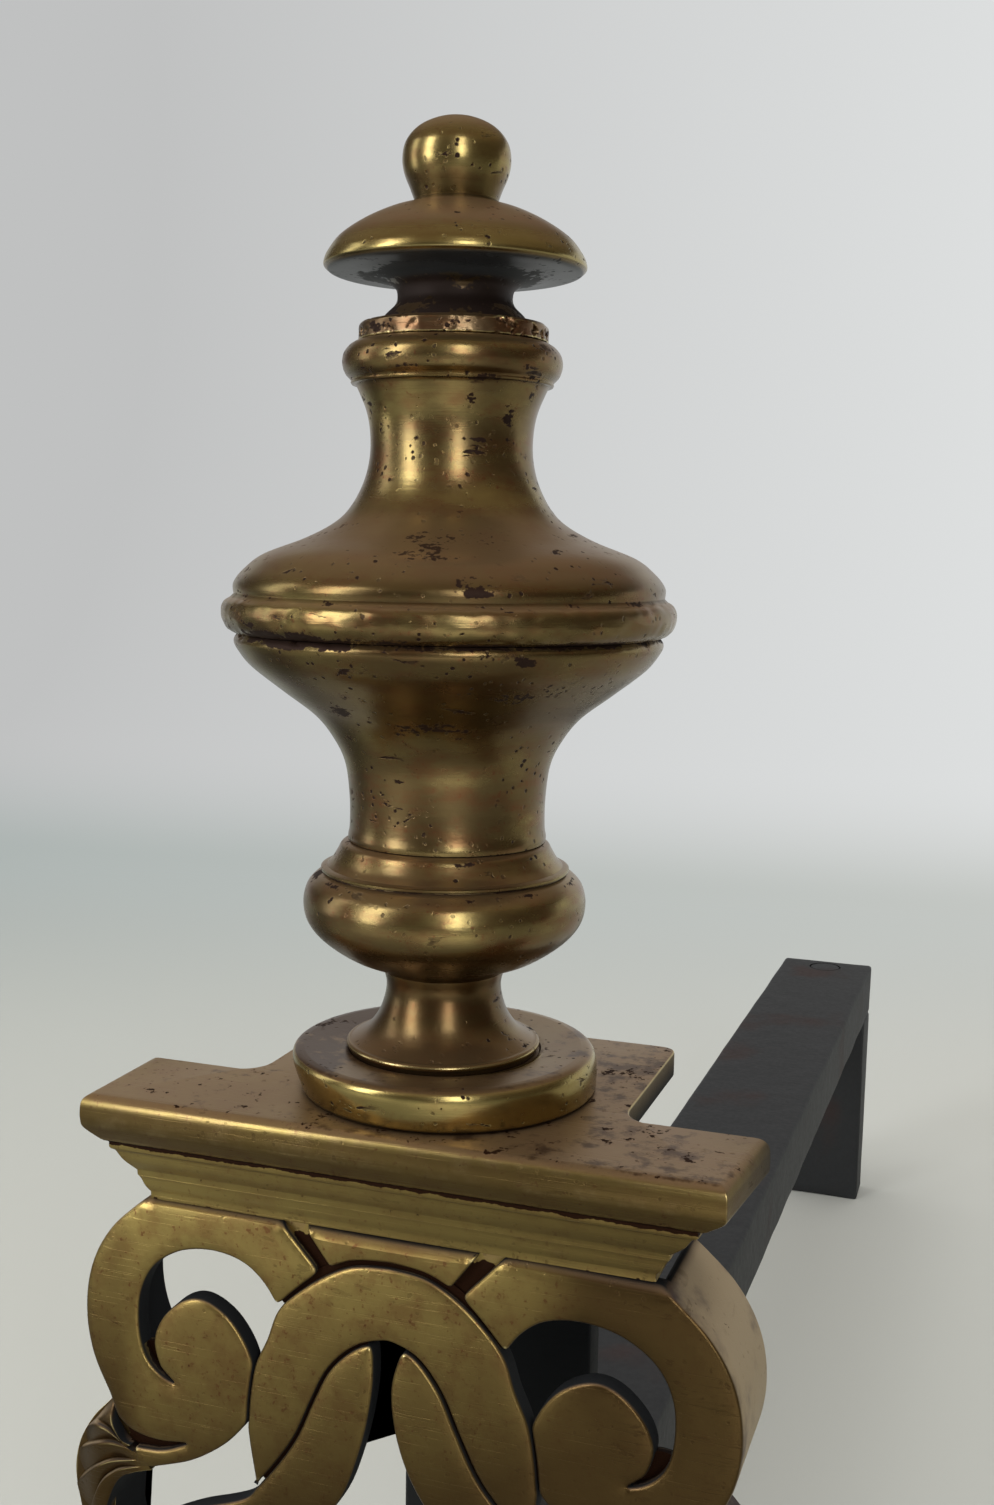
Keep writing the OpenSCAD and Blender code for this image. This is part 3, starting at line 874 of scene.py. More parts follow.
@dataclass(frozen=True)
class ForgedIron:
    """Wrought iron with black forge scale, rubbed grey on its edges and rusty in places."""

    name: str
    slot: Slot
    scale: str = "#26282A"
    rubbed: str = "#55575A"
    rust: str = "#4A2A20"
    rusty: float = 0.28
    roughness: float = 0.55

    def material(self) -> bpy.types.Material:
        """Builds the material."""
        material, tree = new_material(self.name)
        spot = add(tree, "ShaderNodeTexCoord", output="Object")
        bend = add(tree, "ShaderNodeAttribute", output="Fac", attribute_name="bend")
        cloud = add(tree, NOISE, {"Vector": spot, "Scale": per_mm(38), "Detail": 5.0})
        grain = add(tree, NOISE, {"Vector": spot, "Scale": per_mm(1.6), "Detail": 4.0})
        dents = add(tree, NOISE, {"Vector": spot, "Scale": per_mm(9), "Detail": 2.0})
        worn = add(tree, RANGE, {0: bend, 1: 0.15, 2: 0.9, 4: 0.5}, **SMOOTH)
        rust = add(tree, RANGE, {0: cloud, 1: 0.56, 2: 0.72, 4: self.rusty}, **SMOOTH)
        colour = add(tree, MIX, {FACTOR: worn, FIRST: linear(self.scale),
                                 SECOND: linear(self.rubbed)}, BLENDED, **COLOURS)
        colour = add(tree, MIX, {FACTOR: rust, FIRST: colour, SECOND: linear(self.rust)},
                     BLENDED, **COLOURS)
        rough = add(tree, MATH, {0: grain, 1: 0.2, 2: self.roughness}, operation="MULTIPLY_ADD")
        rough = add(tree, MATH, {0: rust, 1: 0.25, 2: rough}, operation="MULTIPLY_ADD")
        height = add(tree, MATH, {0: grain, 1: 0.05, 2: 0.0}, operation="MULTIPLY_ADD")
        height = add(tree, MATH, {0: dents, 1: 0.3, 2: height}, operation="MULTIPLY_ADD")
        normal = add(tree, "ShaderNodeBump", {"Height": height, "Distance": MM, "Strength": 1.0})
        shader = add(tree, "ShaderNodeBsdfPrincipled", {
            "Base Color": colour, "Metallic": 0.35, "Roughness": rough, "Normal": normal})
        tree.links.new(shader, tree.nodes.new("ShaderNodeOutputMaterial").inputs["Surface"])
        return material


Finish = PatinatedBrass | ForgedIron

TURNED = PatinatedBrass("turned_cast_brass", Slot.TURNED_BRASS, pitted=1.25)
COLLAR = PatinatedBrass("pitted_cast_brass", Slot.DULL_BRASS, body="#A08A68", tarnish="#63503A",
                        pitted=1.6, roughness=0.25, lathe=0.0)
FILED = PatinatedBrass("filed_cast_brass", Slot.CAST_BRASS, lathe=0.0, roughness=0.3,
                       body="#BEAA66", tarnish="#816940", bloom="#A2866C", tarnished=0.6,
                       spotted=0.35, pitted=0.3, soot_and_shade_shine=0.15, stretch=(1.0, 1.0, 1.0))
IRON = ForgedIron("forged_wrought_iron", Slot.FORGED_IRON)
BOLTS = ForgedIron("bare_wrought_iron", Slot.PLAIN_IRON, scale="#3C3A38", roughness=0.5)

_materials: dict[str, bpy.types.Material] = {}


def finished(name: str, bm: Shape, finish: Finish, node: str,
             bands: Sequence[Triple] = (), marks: Marks | None = None,
             crease: float = 32.0) -> Piece:
    """Turns a mesh in millimetres into a finished piece of the andiron.

    Args:
        name: The piece's name.
        bm: Its mesh, which is used up.
        finish: Its finish.
        node: The CAD node that it stands for.
        bands: Bands of grime, by height, half width and strength.
        marks: Gives further marks for its finish.
        crease: The angle in degrees from which an edge is sharp.

    Returns:
        The piece, at the origin, riding on the root body.
    """
    bmesh.ops.transform(bm, verts=bm.verts, matrix=Matrix.Translation(
        (0, AXIS_Y, PLATE_Z)) @ Matrix.Diagonal((MM, MM, MM, 1)))
    mesh = bpy.data.meshes.new(name)
    for layer in list(bm.verts.layers.int.values()):
        bm.verts.layers.int.remove(layer)
    bm.to_mesh(mesh)
    bm.free()
    mark_surface(mesh, bands, marks)
    mesh.shade_smooth()
    mesh.set_sharp_from_angle(angle=math.radians(crease))
    if finish.name not in _materials:
        _materials[finish.name] = finish.material()
    mesh.materials.append(_materials[finish.name])
    piece = bpy.data.objects.new(name, mesh)
    bpy.context.scene.collection.objects.link(piece)
    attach(piece, "root")
    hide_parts(node)
    log.info("%s: %d faces", name, len(mesh.polygons))
    return piece


# ---- the column ----------------------------------------------------------------------


@dataclass
class Column:
    """The turned column, from the disc on the plate up to the ball, and its tie rod."""

    belt_r: float = 36.9
    disc_r: float = 25.5
    disc_t: float = 7.3
    collar_r: float = 15.2
    bore_r: float = 3.2
    rod_r: float = 3.0
    rod_top: float = 140.0
    steps: int = 192
    fine_steps: int = 384

    def ring(self, outline: Curve, bore: float) -> Curve:
        """Closes an outline of radius and height round a bore."""
        return np.vstack([[bore, outline[0][1]], outline, [bore, outline[-1][1]]])

    def finial(self) -> Piece:
        """Turns the ball, the mushroom cap and the neck from one piece."""
        neck = spline([(12.2, 125.65), (10.9, 127.1), (9.6, 128.4), (9.2, 129.7), (9.7, 131.3),
                       (12.2, 132.6), (16, 133.2), (19.6, 133.5), (20.5, 133.95)])
        rim = spline([(20.5, 133.95), (20.9, 134.35), (20.85, 135.05), (20.3, 136.3),
                      (18.5, 138.6), (15, 141), (11, 142.9), (7.4, 144)])
        ball = spline([(6.6, 144.55), (7.3, 146.4), (8.25, 148.7), (8.6, 151), (8.1, 153.5),
                       (6.2, 155.7), (3.1, 157.15), (0.001, 157.5)])
        outline = np.vstack([[(3.1, 125.65)], neck, rim[1:], ball, [(0, 157.5)],
                             [(0, self.rod_top + 1)], [(3.1, self.rod_top + 1)]])
        bm = turned(outline, self.steps, (0.3, 0))
        return finished("finial_turned", bm, TURNED, "finial",
                        bands=[(144.3, 0.5, 0.7)], marks=neck_soot_and_shade)

    def collar(self) -> Piece:
        """Makes the thin collar, its edge eaten by casting pits."""
        r = self.collar_r
        edge = [(r - 0.3, 122.65), (r, 122.9), (r, 123.4), (r, 124.1), (r, 124.8), (r - 0.1, 125.2),
                (r - 0.5, 125.55)]
        bm = turned(self.ring(spline(edge, 4), self.bore_r), self.fine_steps, (0.15, 0))
        for vert in bm.verts:
            flat = Vector((vert.co.x, vert.co.y, 0))
            if flat.length > r - 1:
                near = 0.55 + 0.45 * math.sin(math.atan2(vert.co.y, vert.co.x) * 2 + 1.2)
                eaten = noise.noise(vert.co / 1.5) + 0.7 * noise.noise(vert.co / 0.7)
                slope = 0.25 * noise.noise(vert.co / 5)
                vert.co -= flat.normalized() * (max(0.0, eaten - 0.2) * 1.5 * near
                                                + max(0.0, slope))
        return finished("finial_collar_pitted", bm, COLLAR, "finial_collar",
                        bands=[(122.7, 0.35, 0.8)],
                        marks=blotted([Blot(-34, 124, 4.5, 1.6, 0.7), Blot(28, 124.4, 3, 1, 0.6),
                                       Blot(150, 124, 6, 1.4, 0.6)], (120, 130, 0)))

    def vase_upper(self) -> Piece:
        """Turns the upper half of the vase, with its belt and the bead at its mouth."""
        r = self.belt_r
        belt = spline([(r - 2.1, 76.45), (r - 1.3, 76.9), (r - 0.5, 77.8), (r - 0.05, 79),
                       (r - 0.02, 80.3), (r - 0.5, 81.4), (r - 1.5, 82.1)])
        shoulder = spline([(r - 2.0, 82.6), (34.9, 84.4), (33.2, 86.6), (30, 89), (23.4, 91.6),
                           (18.8, 94.1), (16.2, 96.7), (14.2, 100.5), (13.2, 104.5),
                           (13.15, 108.5), (13.8, 112), (15.3, 115.6)])
        fillet = [(15.55, 115.9), (16.15, 116.0), (16.3, 116.25), (16.2, 116.5)]
        bead = spline([(16.4, 116.8), (17.2, 117.7), (17.65, 119.2), (17.45, 120.7),
                       (16.6, 121.9), (15.5, 122.6)])
        outer = np.vstack([belt, shoulder, fillet, bead])
        inner = np.array([(self.bore_r, 122.6), (self.bore_r, 112), (9, 112), (9, 95),
                          (28, 84), (28, 76.45)])
        bm = turned(np.vstack([outer, inner]), self.fine_steps)
        self.corrode(bm, 76.45, 0.9)
        for vert in bm.verts:
            if vert.co.xy.length > r - 1.6 and 77 < vert.co.z < 82:
                vert.co += noise.noise_vector(vert.co / 2.4) * 0.14
                vert.co.xy *= min(1.0, r / vert.co.xy.length)
        blots = [Blot(36, 107, 3.2, 0.7, 0.85), Blot(33, 112.8, 1.2, 1.6), Blot(62, 110, 2, 4, 0.7),
                 Blot(80, 113, 1.6, 2.5, 0.7), Blot(26, 84.5, 4.5, 2.2, 0.7),
                 Blot(-8, 82.2, 4, 1.2, 0.8), Blot(-9, 93, 3.5, 1, 0.62), Blot(14, 91, 9, 3, 0.5),
                 Blot(-34, 78.5, 2.5, 1, 0.8), Blot(-62, 81, 2, 1, 0.8), Blot(36, 116, 9, 0.9, 0.7),
                 Blot(-150, 108, 3, 2), Blot(140, 86, 6, 2.5, 0.7), Blot(-110, 90, 5, 2, 0.6),
                 *self.seam_grime(76.4)]
        return finished("vase_upper_turned", bm, TURNED, "vase_upper",
                        bands=[(82.35, 0.5, 0.66), (116.65, 0.35, 0.55), (117.6, 1.0, 0.42)],
                        marks=blotted(blots, (82, 98, 0.35)))

    def vase_lower(self) -> Piece:
        """Turns the lower half of the vase."""
        body = spline([(16.3, 42.4), (16.4, 43.2), (16.15, 45), (16.2, 49.6), (16.9, 55),
                       (18.7, 59), (21.8, 63), (27, 67), (32.1, 71), (34.3, 73.7),
                       (34.9, 75.2), (34.3, 76.3)])
        inner = np.array([(28, 76.3), (28, 71), (26, 71), (10, 60), (10, 46),
                          (self.bore_r, 46), (self.bore_r, 42.3)])
        bm = turned(np.vstack([[(15.6, 42.3)], body, inner]), self.fine_steps)
        self.corrode(bm, 76.3, 1.1)
        blots = [Blot(38, 74.2, 2.6, 1.6, 0.8), Blot(40, 68.2, 4.5, 1.4, 0.85),
                 Blot(17, 62.5, 8, 3.5, 0.52), Blot(-15, 66, 7, 3, 0.52),
                 Blot(54, 69.5, 4, 2, 0.62), Blot(-32, 60, 4, 2, 0.5),
                 Blot(160, 70, 6, 2, 0.7), Blot(-120, 66, 5, 3, 0.6),
                 *self.seam_grime(76.2)]
        return finished("vase_lower_turned", bm, TURNED, "vase_lower",
                        bands=[(42.4, 0.35, 0.45)], marks=blotted(blots, (60, 77, 0.3)))

    def seam_grime(self, seam: float) -> list[Blot]:
        """Gives the grime along the belt's seam, thickest at its front left."""
        return [Blot(-22, seam, 20, 1.5, 0.95), Blot(45, seam, 26, 0.55, 0.9),
                Blot(-80, seam, 16, 0.8, 0.8), Blot(110, seam, 22, 0.8, 0.8),
                Blot(-130, seam, 20, 1.2, 0.85), Blot(165, seam, 22, 0.7, 0.8)]

    def corrode(self, bm: Shape, seam: float, width: float) -> None:
        """Eats small bites out of the metal on both sides of a seam.

        Args:
            bm: A turned piece.
            seam: The seam's height.
            width: How far the bites reach from it.
        """
        for vert in bm.verts:
            near = 1 - abs(vert.co.z - seam) / width
            flat = Vector((vert.co.x, vert.co.y, 0))
            if near > 0 and flat.length > self.belt_r - 4:
                bite = noise.noise(vert.co / 2.1) + 0.5 * noise.noise(vert.co / 0.9)
                eaten = 0.35 + 0.65 * float(ramp(-vert.co.x, -8, 6))
                vert.co -= flat.normalized() * max(0.0, bite - 0.1) * 1.3 * near * eaten

    def knop_stem(self) -> Piece:
        """Turns the band, the round knop and the stem with its flaring foot."""
        stem = spline([(15.5, 6.35), (15.9, 7.1), (16.2, 7.6), (16.25, 8.05), (15.9, 8.4),
                       (15.1, 8.65), (12.8, 10.2), (11, 12.6), (9.95, 15.4), (9.6, 18),
                       (10.1, 20.3)])
        knop = spline([(11.8, 21.4), (16, 23.0), (20.4, 26), (22.8, 28.9), (23.5, 32),
                       (22.9, 34.8), (21.4, 36.5), (20.2, 37.15)])
        lip = [(20.15, 37.3), (20.6, 37.5), (20.6, 37.85), (20.1, 38.1)]
        band = spline([(19.6, 38.2), (18.7, 39.2), (17.8, 40.7), (17.25, 41.7), (16.5, 42.2)])
        outer = np.vstack([stem, knop, lip, band])
        bm = turned(self.ring(outer, self.bore_r), self.steps, (-0.3, 0))
        return finished("knop_and_stem_turned", bm, TURNED, "knop_stem",
                        bands=[(37.25, 0.25, 0.9), (36.5, 0.9, 0.45), (20.9, 0.7, 0.7),
                               (42.3, 0.4, 0.5), (6.5, 0.5, 0.8)],
                        marks=blotted([Blot(-62, 36.6, 4, 0.9, 0.75), Blot(28, 41.3, 2.2, 0.7, 0.8),
                                       Blot(-40, 40, 4, 1, 0.55), Blot(120, 33, 5, 3, 0.6),
                                       Blot(-150, 30, 5, 3, 0.6)], (7, 21, 0.6)))

    def base_disc(self) -> Piece:
        """Turns the thick disc, slightly dished, with a seat for the stem's foot."""
        r, top = self.disc_r, self.disc_t
        edge = spline([(r - 1.6, 0.03), (r - 0.75, 0.55), (r - 0.45, 1.7), (r - 0.1, 3.6),
                       (r + 0.05, 5.4), (r - 0.2, 6.5), (r - 0.9, 7.1), (r - 2.1, top)])
        dish = spline([(r - 2.1, top), (20.5, top - 0.15), (16.8, top - 0.35)])
        seat = np.array([(16.3, top - 0.45), (15.95, 6.5), (self.bore_r, 6.5),
                         (self.bore_r, 0.03)])
        bm = turned(np.vstack([edge, dish[1:], seat]), self.steps)
        for vert in bm.verts:
            if vert.co.xy.length > 17:
                low = 1 - vert.co.z / top
                vert.co += Vector((1.1 * low - 0.35, 0.7 * low + 0.1, 0))
        return finished("base_disc_turned", bm, TURNED, "base_disc",
                        bands=[(0, 0.9, 0.9)], marks=blotched_disc)

    def tie_rod(self) -> list[Piece]:
        """Makes the rod with its thread, the washer and the square nut."""
        low = -PLATE_T - 8
        thread = [(self.rod_r - (0.35 if i % 2 else 0.0), low + 0.6 + i * 0.5) for i in range(17)]
        rod = np.array([(0, low), (self.rod_r - 0.6, low), *thread, (self.rod_r, low + 9.4),
                        (self.rod_r, self.rod_top), (0, self.rod_top)])
        top = -PLATE_T
        washer = spline([(self.bore_r, top), (5.0, top), (5.2, top - 0.4), (5.0, top - 1),
                         (self.bore_r, top - 1)], 2)
        nut = joined(block((-4.8, -4.8, top - 6), (4.8, 4.8, top - 1), 0.5),
                     [pin(6.3, (0, 0, top - 8), (0, 0, 1), 9)], "DIFFERENCE")
        return [finished("tie_rod_threaded", turned(rod, 48), BOLTS, "tie_rod"),
                finished("tie_rod_washer_round", turned(washer, 64), BOLTS, "tie_rod_washer"),
                finished("tie_rod_nut_square", nut, BOLTS, "tie_rod_nut")]

    def build(self) -> None:
        """Builds every piece of the column."""
        self.finial()
        self.collar()
        self.vase_upper()
        self.vase_lower()
        self.knop_stem()
        self.base_disc()
        self.tie_rod()


# ---- the plate -----------------------------------------------------------------------


@dataclass
class Plate:
    """The T-shaped plate: a cross bar with a cornice on three sides, a tail and a tongue."""

    width: float = 108.0
    front: float = 27.3
    depth: float = 21.8
    tail: float = 32.5
    reach: float = 34.7
    height: float = 17.5
    end_run: float = 1.0
    front_run: float = 0.34
    tongue: tuple[float, float, float, float] = (24.8, 7.0, 13.0, 61.5)

    def moulding(self, run: float) -> Curve:
        """Draws the cornice's section, as how far in and how far down each point is.

        Args:
            run: How far the section runs in, as a share of its run at the ends.

        Returns:
            The section, from the top round the bullnose and down the two coves.
        """
        nose = spline([(3.4, 0), (2.2, 0), (1.3, -0.1), (0.55, -0.55), (0.15, -1.2), (0, -2.4),
                       (0, -4), (0.35, -5.6), (3 * run, -7.4)], 5)
        fillet = [(3.6 * run, -7.7), (4.4 * run, -7.8), (4.5 * run, -8.0), (4.5 * run, -8.8)]
        cove = spline([(4.8 * run, -9.1), (5.5 * run, -9.4), (6.7 * run, -11),
                       (8.6 * run, -12.5)], 5)
        step = [(8.9 * run, -12.7), (8.9 * run, -13.4)]
        foot = spline([(9.1 * run, -13.7), (9.5 * run, -14.2), (10.1 * run, -15.4),
                       (10.9 * run, -16.3)], 5)
        return np.vstack([nose, fillet, cove, step, foot, [(11 * run, -16.5)],
                          [(11 * run, -self.height)]])

    def cornice(self) -> Shape:
        """Sweeps the section round the front and both ends, with mitred corners."""
        ends, fronts = self.moulding(self.end_run), self.moulding(self.front_run)
        back = self.depth - self.front
        bm = bmesh.new()

        def station(side: int, at_front: bool) -> list[Triple]:
            """Places the section at one of its four stations."""
            return [(side * (self.width / 2 - e[0]), f[0] - self.front if at_front else back, e[1])
                    for e, f in zip(ends, fronts)]

        chain = chain_of(bm, station(-1, False), closed=False)
        order = bm.verts.layers.int["order"]
        first = sorted({v for e in chain for v in e.verts}, key=lambda v: v[order])
        rows = [first]
        mitres = []
        for side, at_front in ((-1, True), (1, True), (1, False)):
            points, chain = extruded(bm, chain)
            points.sort(key=lambda v: v[order])
            for vert, place in zip(points, station(side, at_front)):
                vert.co = place
            rows.append(points)
            if at_front:
                mitres += chain
        for end in (0, -1):
            bmesh.ops.contextual_create(bm, geom=[row[end] for row in rows])
        rim = [e for e in bm.edges if len(e.link_faces) == 1]
        bmesh.ops.edgeloop_fill(bm, edges=rim)
        bmesh.ops.recalc_face_normals(bm, faces=bm.faces)
        bmesh.ops.bevel(bm, geom=mitres, affect="EDGES", offset=0.3, segments=2, profile=0.5,
                        material=-1)
        return closed_up(bm)

    def build(self) -> Piece:
        """Joins the cornice, the tail and the tongue, and drills the plate."""
        tail, inner, outer = self.tail, 5.0, 2.5
        back = self.depth - self.front
        turn = np.linspace(0, math.pi / 2, 9)
        corner = np.column_stack([tail + inner - inner * np.sin(turn),
                                  back + inner - inner * np.cos(turn)])
        end = np.column_stack([tail - outer + outer * np.cos(turn),
                               self.reach - outer + outer * np.sin(turn)])
        side = np.vstack([[(tail + inner, back - 3)], corner, end])
        slab = Slab(np.vstack([side, mirrored(side)]), low=-PLATE_T, edge=0.4, pillow=0.0,
                    pitch=0.6, grid=40).mesh()
        half, near, far, hang = self.tongue
        tongue = block((-half, near, -hang), (half, far, -1), 0.6)
        bm = joined(self.cornice(), [slab, tongue])
        drills = [pin(6.4, (0, 0, -9), (0, 0, 1), 12)]
        drills += [pin(RIVET_BORE, (0, near - 1, z), (0, 1, 0), far - near + 2) for z in RIVETS]
        bm = joined(bm, drills, "DIFFERENCE")
        for vert in bm.verts:
            if vert.co.x > 42:
                vert.co.x += 2.4 * (vert.co.y + self.front) / self.depth * (vert.co.x - 42) / 12
        return finished("t_plate_moulded", bm, FILED, "t_plate", crease=28, marks=plate_soot_and_shade,
                        bands=[(-7.85, 0.45, 1.7), (-12.9, 0.4, 1.3), (-17.1, 0.6, 1.2)])


# ---- the pierced front ---------------------------------------------------------------


@dataclass
class PiercedFront:
    """The pierced strapwork under the cornice, with its knees, legs and pad feet.

    The curves are the right-hand half, seen from the front, as distance from the middle
    and height from the top of the plate. Straps that cross are parted by a narrow groove.
    """

    face: float = 24.0
    strap: float = 4.0
    flange: float = 21.0
    leg: float = 15.0
    foot: Pair = (74.0, -13.0)
    foot_r: float = 13.0
    gap: float = 0.4
    scroll_out: Curve = curve(
        (43.6, -17.5), (46.4, -19.8), (50.4, -23.6), (53.6, -28.6), (55.4, -34.4), (55.7, -41),
        (54.4, -47.4), (51.4, -53.6))
    scroll_end: Curve = curve(
        (50, -57.4), (47.8, -59.2), (44.6, -60.1), (41.2, -60.3), (37.5, -59.8))
    eye_out: Curve = curve(
        (38.5, -49.6), (41.4, -48.6), (44.2, -45.8), (45.5, -41), (45.2, -34.6), (42.6, -29.4),
        (37.6, -26), (31.6, -24.9), (26, -25.9), (22.2, -28.6), (19.8, -32))
    eye_in: Curve = curve(
        (24.1, -43), (25.8, -39.4), (28.9, -35.8), (33.3, -33.7), (37.2, -34.6), (41, -38.2),
        (42.7, -42.6), (41.6, -47))
    arch_out: Curve = curve(
        (0, -21.8), (6.4, -22.6), (12, -25.6), (17.4, -30.2), (20, -33.6), (21.6, -38.2),
        (23.8, -43.2), (24.8, -49), (25.1, -53.6))
    arch_leg: Curve = curve(
        (25.3, -53.8), (24.9, -57.2), (23.6, -64.6))
    arch_in: Curve = curve(
        (0, -34.5), (5, -36.2), (9.6, -40.8), (12.8, -47.2), (16.2, -54.4), (20, -60.2),
        (23.6, -64.8))
    lobe_low: Curve = curve(
        (25.4, -54), (29.5, -58.5), (35.6, -62.6), (42.6, -65.2), (47.2, -67), (50.3, -69.5),
        (52.3, -73.6), (53, -80.6))
    ogee_top: Curve = curve(
        (50.6, -81.6), (42.6, -75.2), (35.4, -71.2), (28.6, -68.6), (25, -66.8), (23.6, -64.8))
    ogee_low: Curve = curve(
        (2.3, -36.6), (1.6, -42.6), (2.9, -51), (6, -59.4), (10.6, -67), (17.4, -74), (26, -79.6),
        (34.6, -86), (41, -95), (44.4, -104))
    knee_out: Curve = curve(
        (51.2, -54.4), (53.6, -57.1), (56.5, -60.2), (59.2, -64.7), (60.4, -69.1), (60.4, -73),
        (59.5, -77.6), (58.2, -83))
    leg_out: Curve = curve(
        (57.2, -88), (55.8, -98), (56.2, -118), (59, -142), (63.8, -162), (69.4, -180),
        (75, -194), (79.4, -203))
    leg_in: Curve = curve(
        (68.4, -203), (65.6, -194), (61, -180), (55.6, -162), (50.8, -142), (47.2, -122),
        (45, -108))
    tail_top: Curve = curve(
        (36.2, -59.7), (40.4, -61.6), (43.6, -62.2), (47.8, -61.9), (50.8, -58.4))
    leaf_veins: tuple[tuple[Pair, ...], ...] = (
        ((47.4, -62.2), (49.4, -61.6), (50.9, -58.8), (51.3, -56.6), (51.2, -54.4)),
        ((48.4, -62.7), (50.4, -61.2), (52.6, -60.0), (55.2, -60.2), (57.6, -61.9)),
        ((46.6, -63.3), (49.4, -62.5), (52.4, -62.5), (55.8, -63.9), (59.5, -66.4)),
        ((44.8, -64.3), (48.4, -65.0), (52.2, -66.1), (56.0, -68.6), (60.4, -72.8)),
        ((43.8, -65.3), (47.6, -66.2), (51.0, -67.7), (54.4, -71.2), (58.8, -80.6)),
        ((43.4, -65.9), (47.2, -67.4), (50.6, -70.1), (53.2, -77.0), (56.6, -92.0)))
    warps: tuple[tuple[Pair, Pair, float], ...] = (
        ((50, -40), (1.4, -1.6), 16), ((34, -42), (0.2, -2.0), 12), ((22, -36), (-0.3, -0.9), 8),
        ((14, -46), (-1.2, -1.2), 8), ((2, -48), (-1.6, -0.8), 9), ((0, -24), (0, -0.8), 12))

    def part(self, line: Curve, high: float, low: float) -> Curve:
        """Keeps the stretch of a curve between two heights."""
        return line[(line[:, 1] <= high) & (line[:, 1] >= low)]

    def cornice_edge(self, x: np.ndarray, z: np.ndarray, away: np.ndarray) -> np.ndarray:
        """Rounds the face's top edge, where it goes under the cornice."""
        return 1.3 * ramp(z, -19.3, -17.3) ** 2

    def faced(self, outline: Curve) -> Shape:
        """Makes one strap with its softly filed face."""
        return upright(Slab(outline, self.face - self.strap, self.face,
                            sink=self.cornice_edge).mesh())

    def lane(self, line: Curve) -> np.ndarray:
        """Gives half the width of the groove along the arch, widest at the crown."""
        return self.gap * (1.9 - 0.9 * ramp(np.abs(line[:, 0]), 9, 19))

    def scroll(self) -> Shape:
        """Makes the C-scroll that curls into its lobe, with the start of the knee's tail."""
        shared = self.part(self.arch_out, -25.9, -31.9)
        contact = beside(self.part(self.arch_out, -44, -52.4), 0.22)
        tail = self.tail_top[self.tail_top[:, 0] < 47.2]
        outline = np.vstack([
            [(19.2, -17.5)], self.scroll_out, self.scroll_end, tail,
            [(46.4, -66.0)], self.part(self.lobe_low, -54, -65.9)[::-1], contact[::-1],
            self.eye_in, self.eye_out, beside(shared, self.lane(shared))[::-1],
            [(12.4, -24.5)]])
        return self.faced(outline)

    def arch(self) -> Shape:
        """Makes the arch over the slot, both halves in one."""
        half = np.vstack([beside(self.arch_out, -0.3 * self.lane(self.arch_out)),
                          beside(self.arch_leg, -0.1), beside(self.arch_in, self.gap)[::-1]])
        return self.faced(np.vstack([half, mirrored(half)[1:-1]]))

    def centre(self) -> Shape:
        """Makes the piece between the cornice and the arch's crown."""
        shared = self.arch_out[self.arch_out[:, 0] < 10.4]
        half = np.vstack([[(15.0, -17.5), (10.9, -22.8)], beside(shared, self.lane(shared))[::-1]])
        return self.faced(np.vstack([half, mirrored(half)[1:]]))

    def leaf(self) -> Shape:
        """Makes the leaf strap beside the slot, which runs down into the leg."""
        outline = np.vstack([
            beside(self.arch_in[self.arch_in[:, 0] > 2.6], -0.15)[:-1], self.ogee_top[::-1][1:],
            [(52.2, -82), (55.9, -87)], self.leg_out, self.leg_in, self.ogee_low[::-1]])
        return self.faced(outline)

    def knee(self) -> Shape:
        """Carves the leaf on the knee: flutes between veins that arch out from the tail."""
        veins = np.array([spline(vein, 16) for vein in self.leaf_veins])
        rows, columns = 20 * (len(veins) - 1) + 1, veins.shape[1]
        veins = np.array([along(vein, np.linspace(0, 1, columns)) for vein in veins])
        bm = bmesh.new()
        bmesh.ops.create_grid(bm, x_segments=columns - 1, y_segments=rows - 1, size=0.5)
        spots = np.array([v.co.xy for v in bm.verts]) + 0.5
        across = np.rint(spots[:, 0] * (columns - 1)).astype(int)
        t = spots[:, 1] * (len(veins) - 1)
        place = np.array([[np.interp(at, np.arange(len(veins)), veins[:, i, k]) for k in (0, 1)]
                          for at, i in zip(t, across)])
        r = spots[:, 0]
        within = np.clip(t - np.floor(t), 0, 1)
        wall = 0.12
        step = (np.where(within < wall, 1 - within / wall, 0) ** 2
                + np.maximum(within - wall, 0) ** 1.4)
        edge = ramp(np.abs(2 * spots[:, 1] - 1), 0.94, 1.0)
        level = (self.face - 0.25 - 1.25 * step * ramp(r, 0.05, 0.35)
                 - 3.3 * ramp(r, 0.35, 1.1) ** 1.5 - 0.7 * edge)
        for vert, spot, height in zip(bm.verts, place, level):
            vert.co = (*spot, height)
        rim = [e for e in bm.edges if e.is_boundary]
        points, rim = extruded(bm, rim)
        for vert in points:
            vert.co.z = self.face - self.strap + 0.2
        bmesh.ops.edgeloop_fill(bm, edges=rim)
        return upright(closed_up(split(bm)))

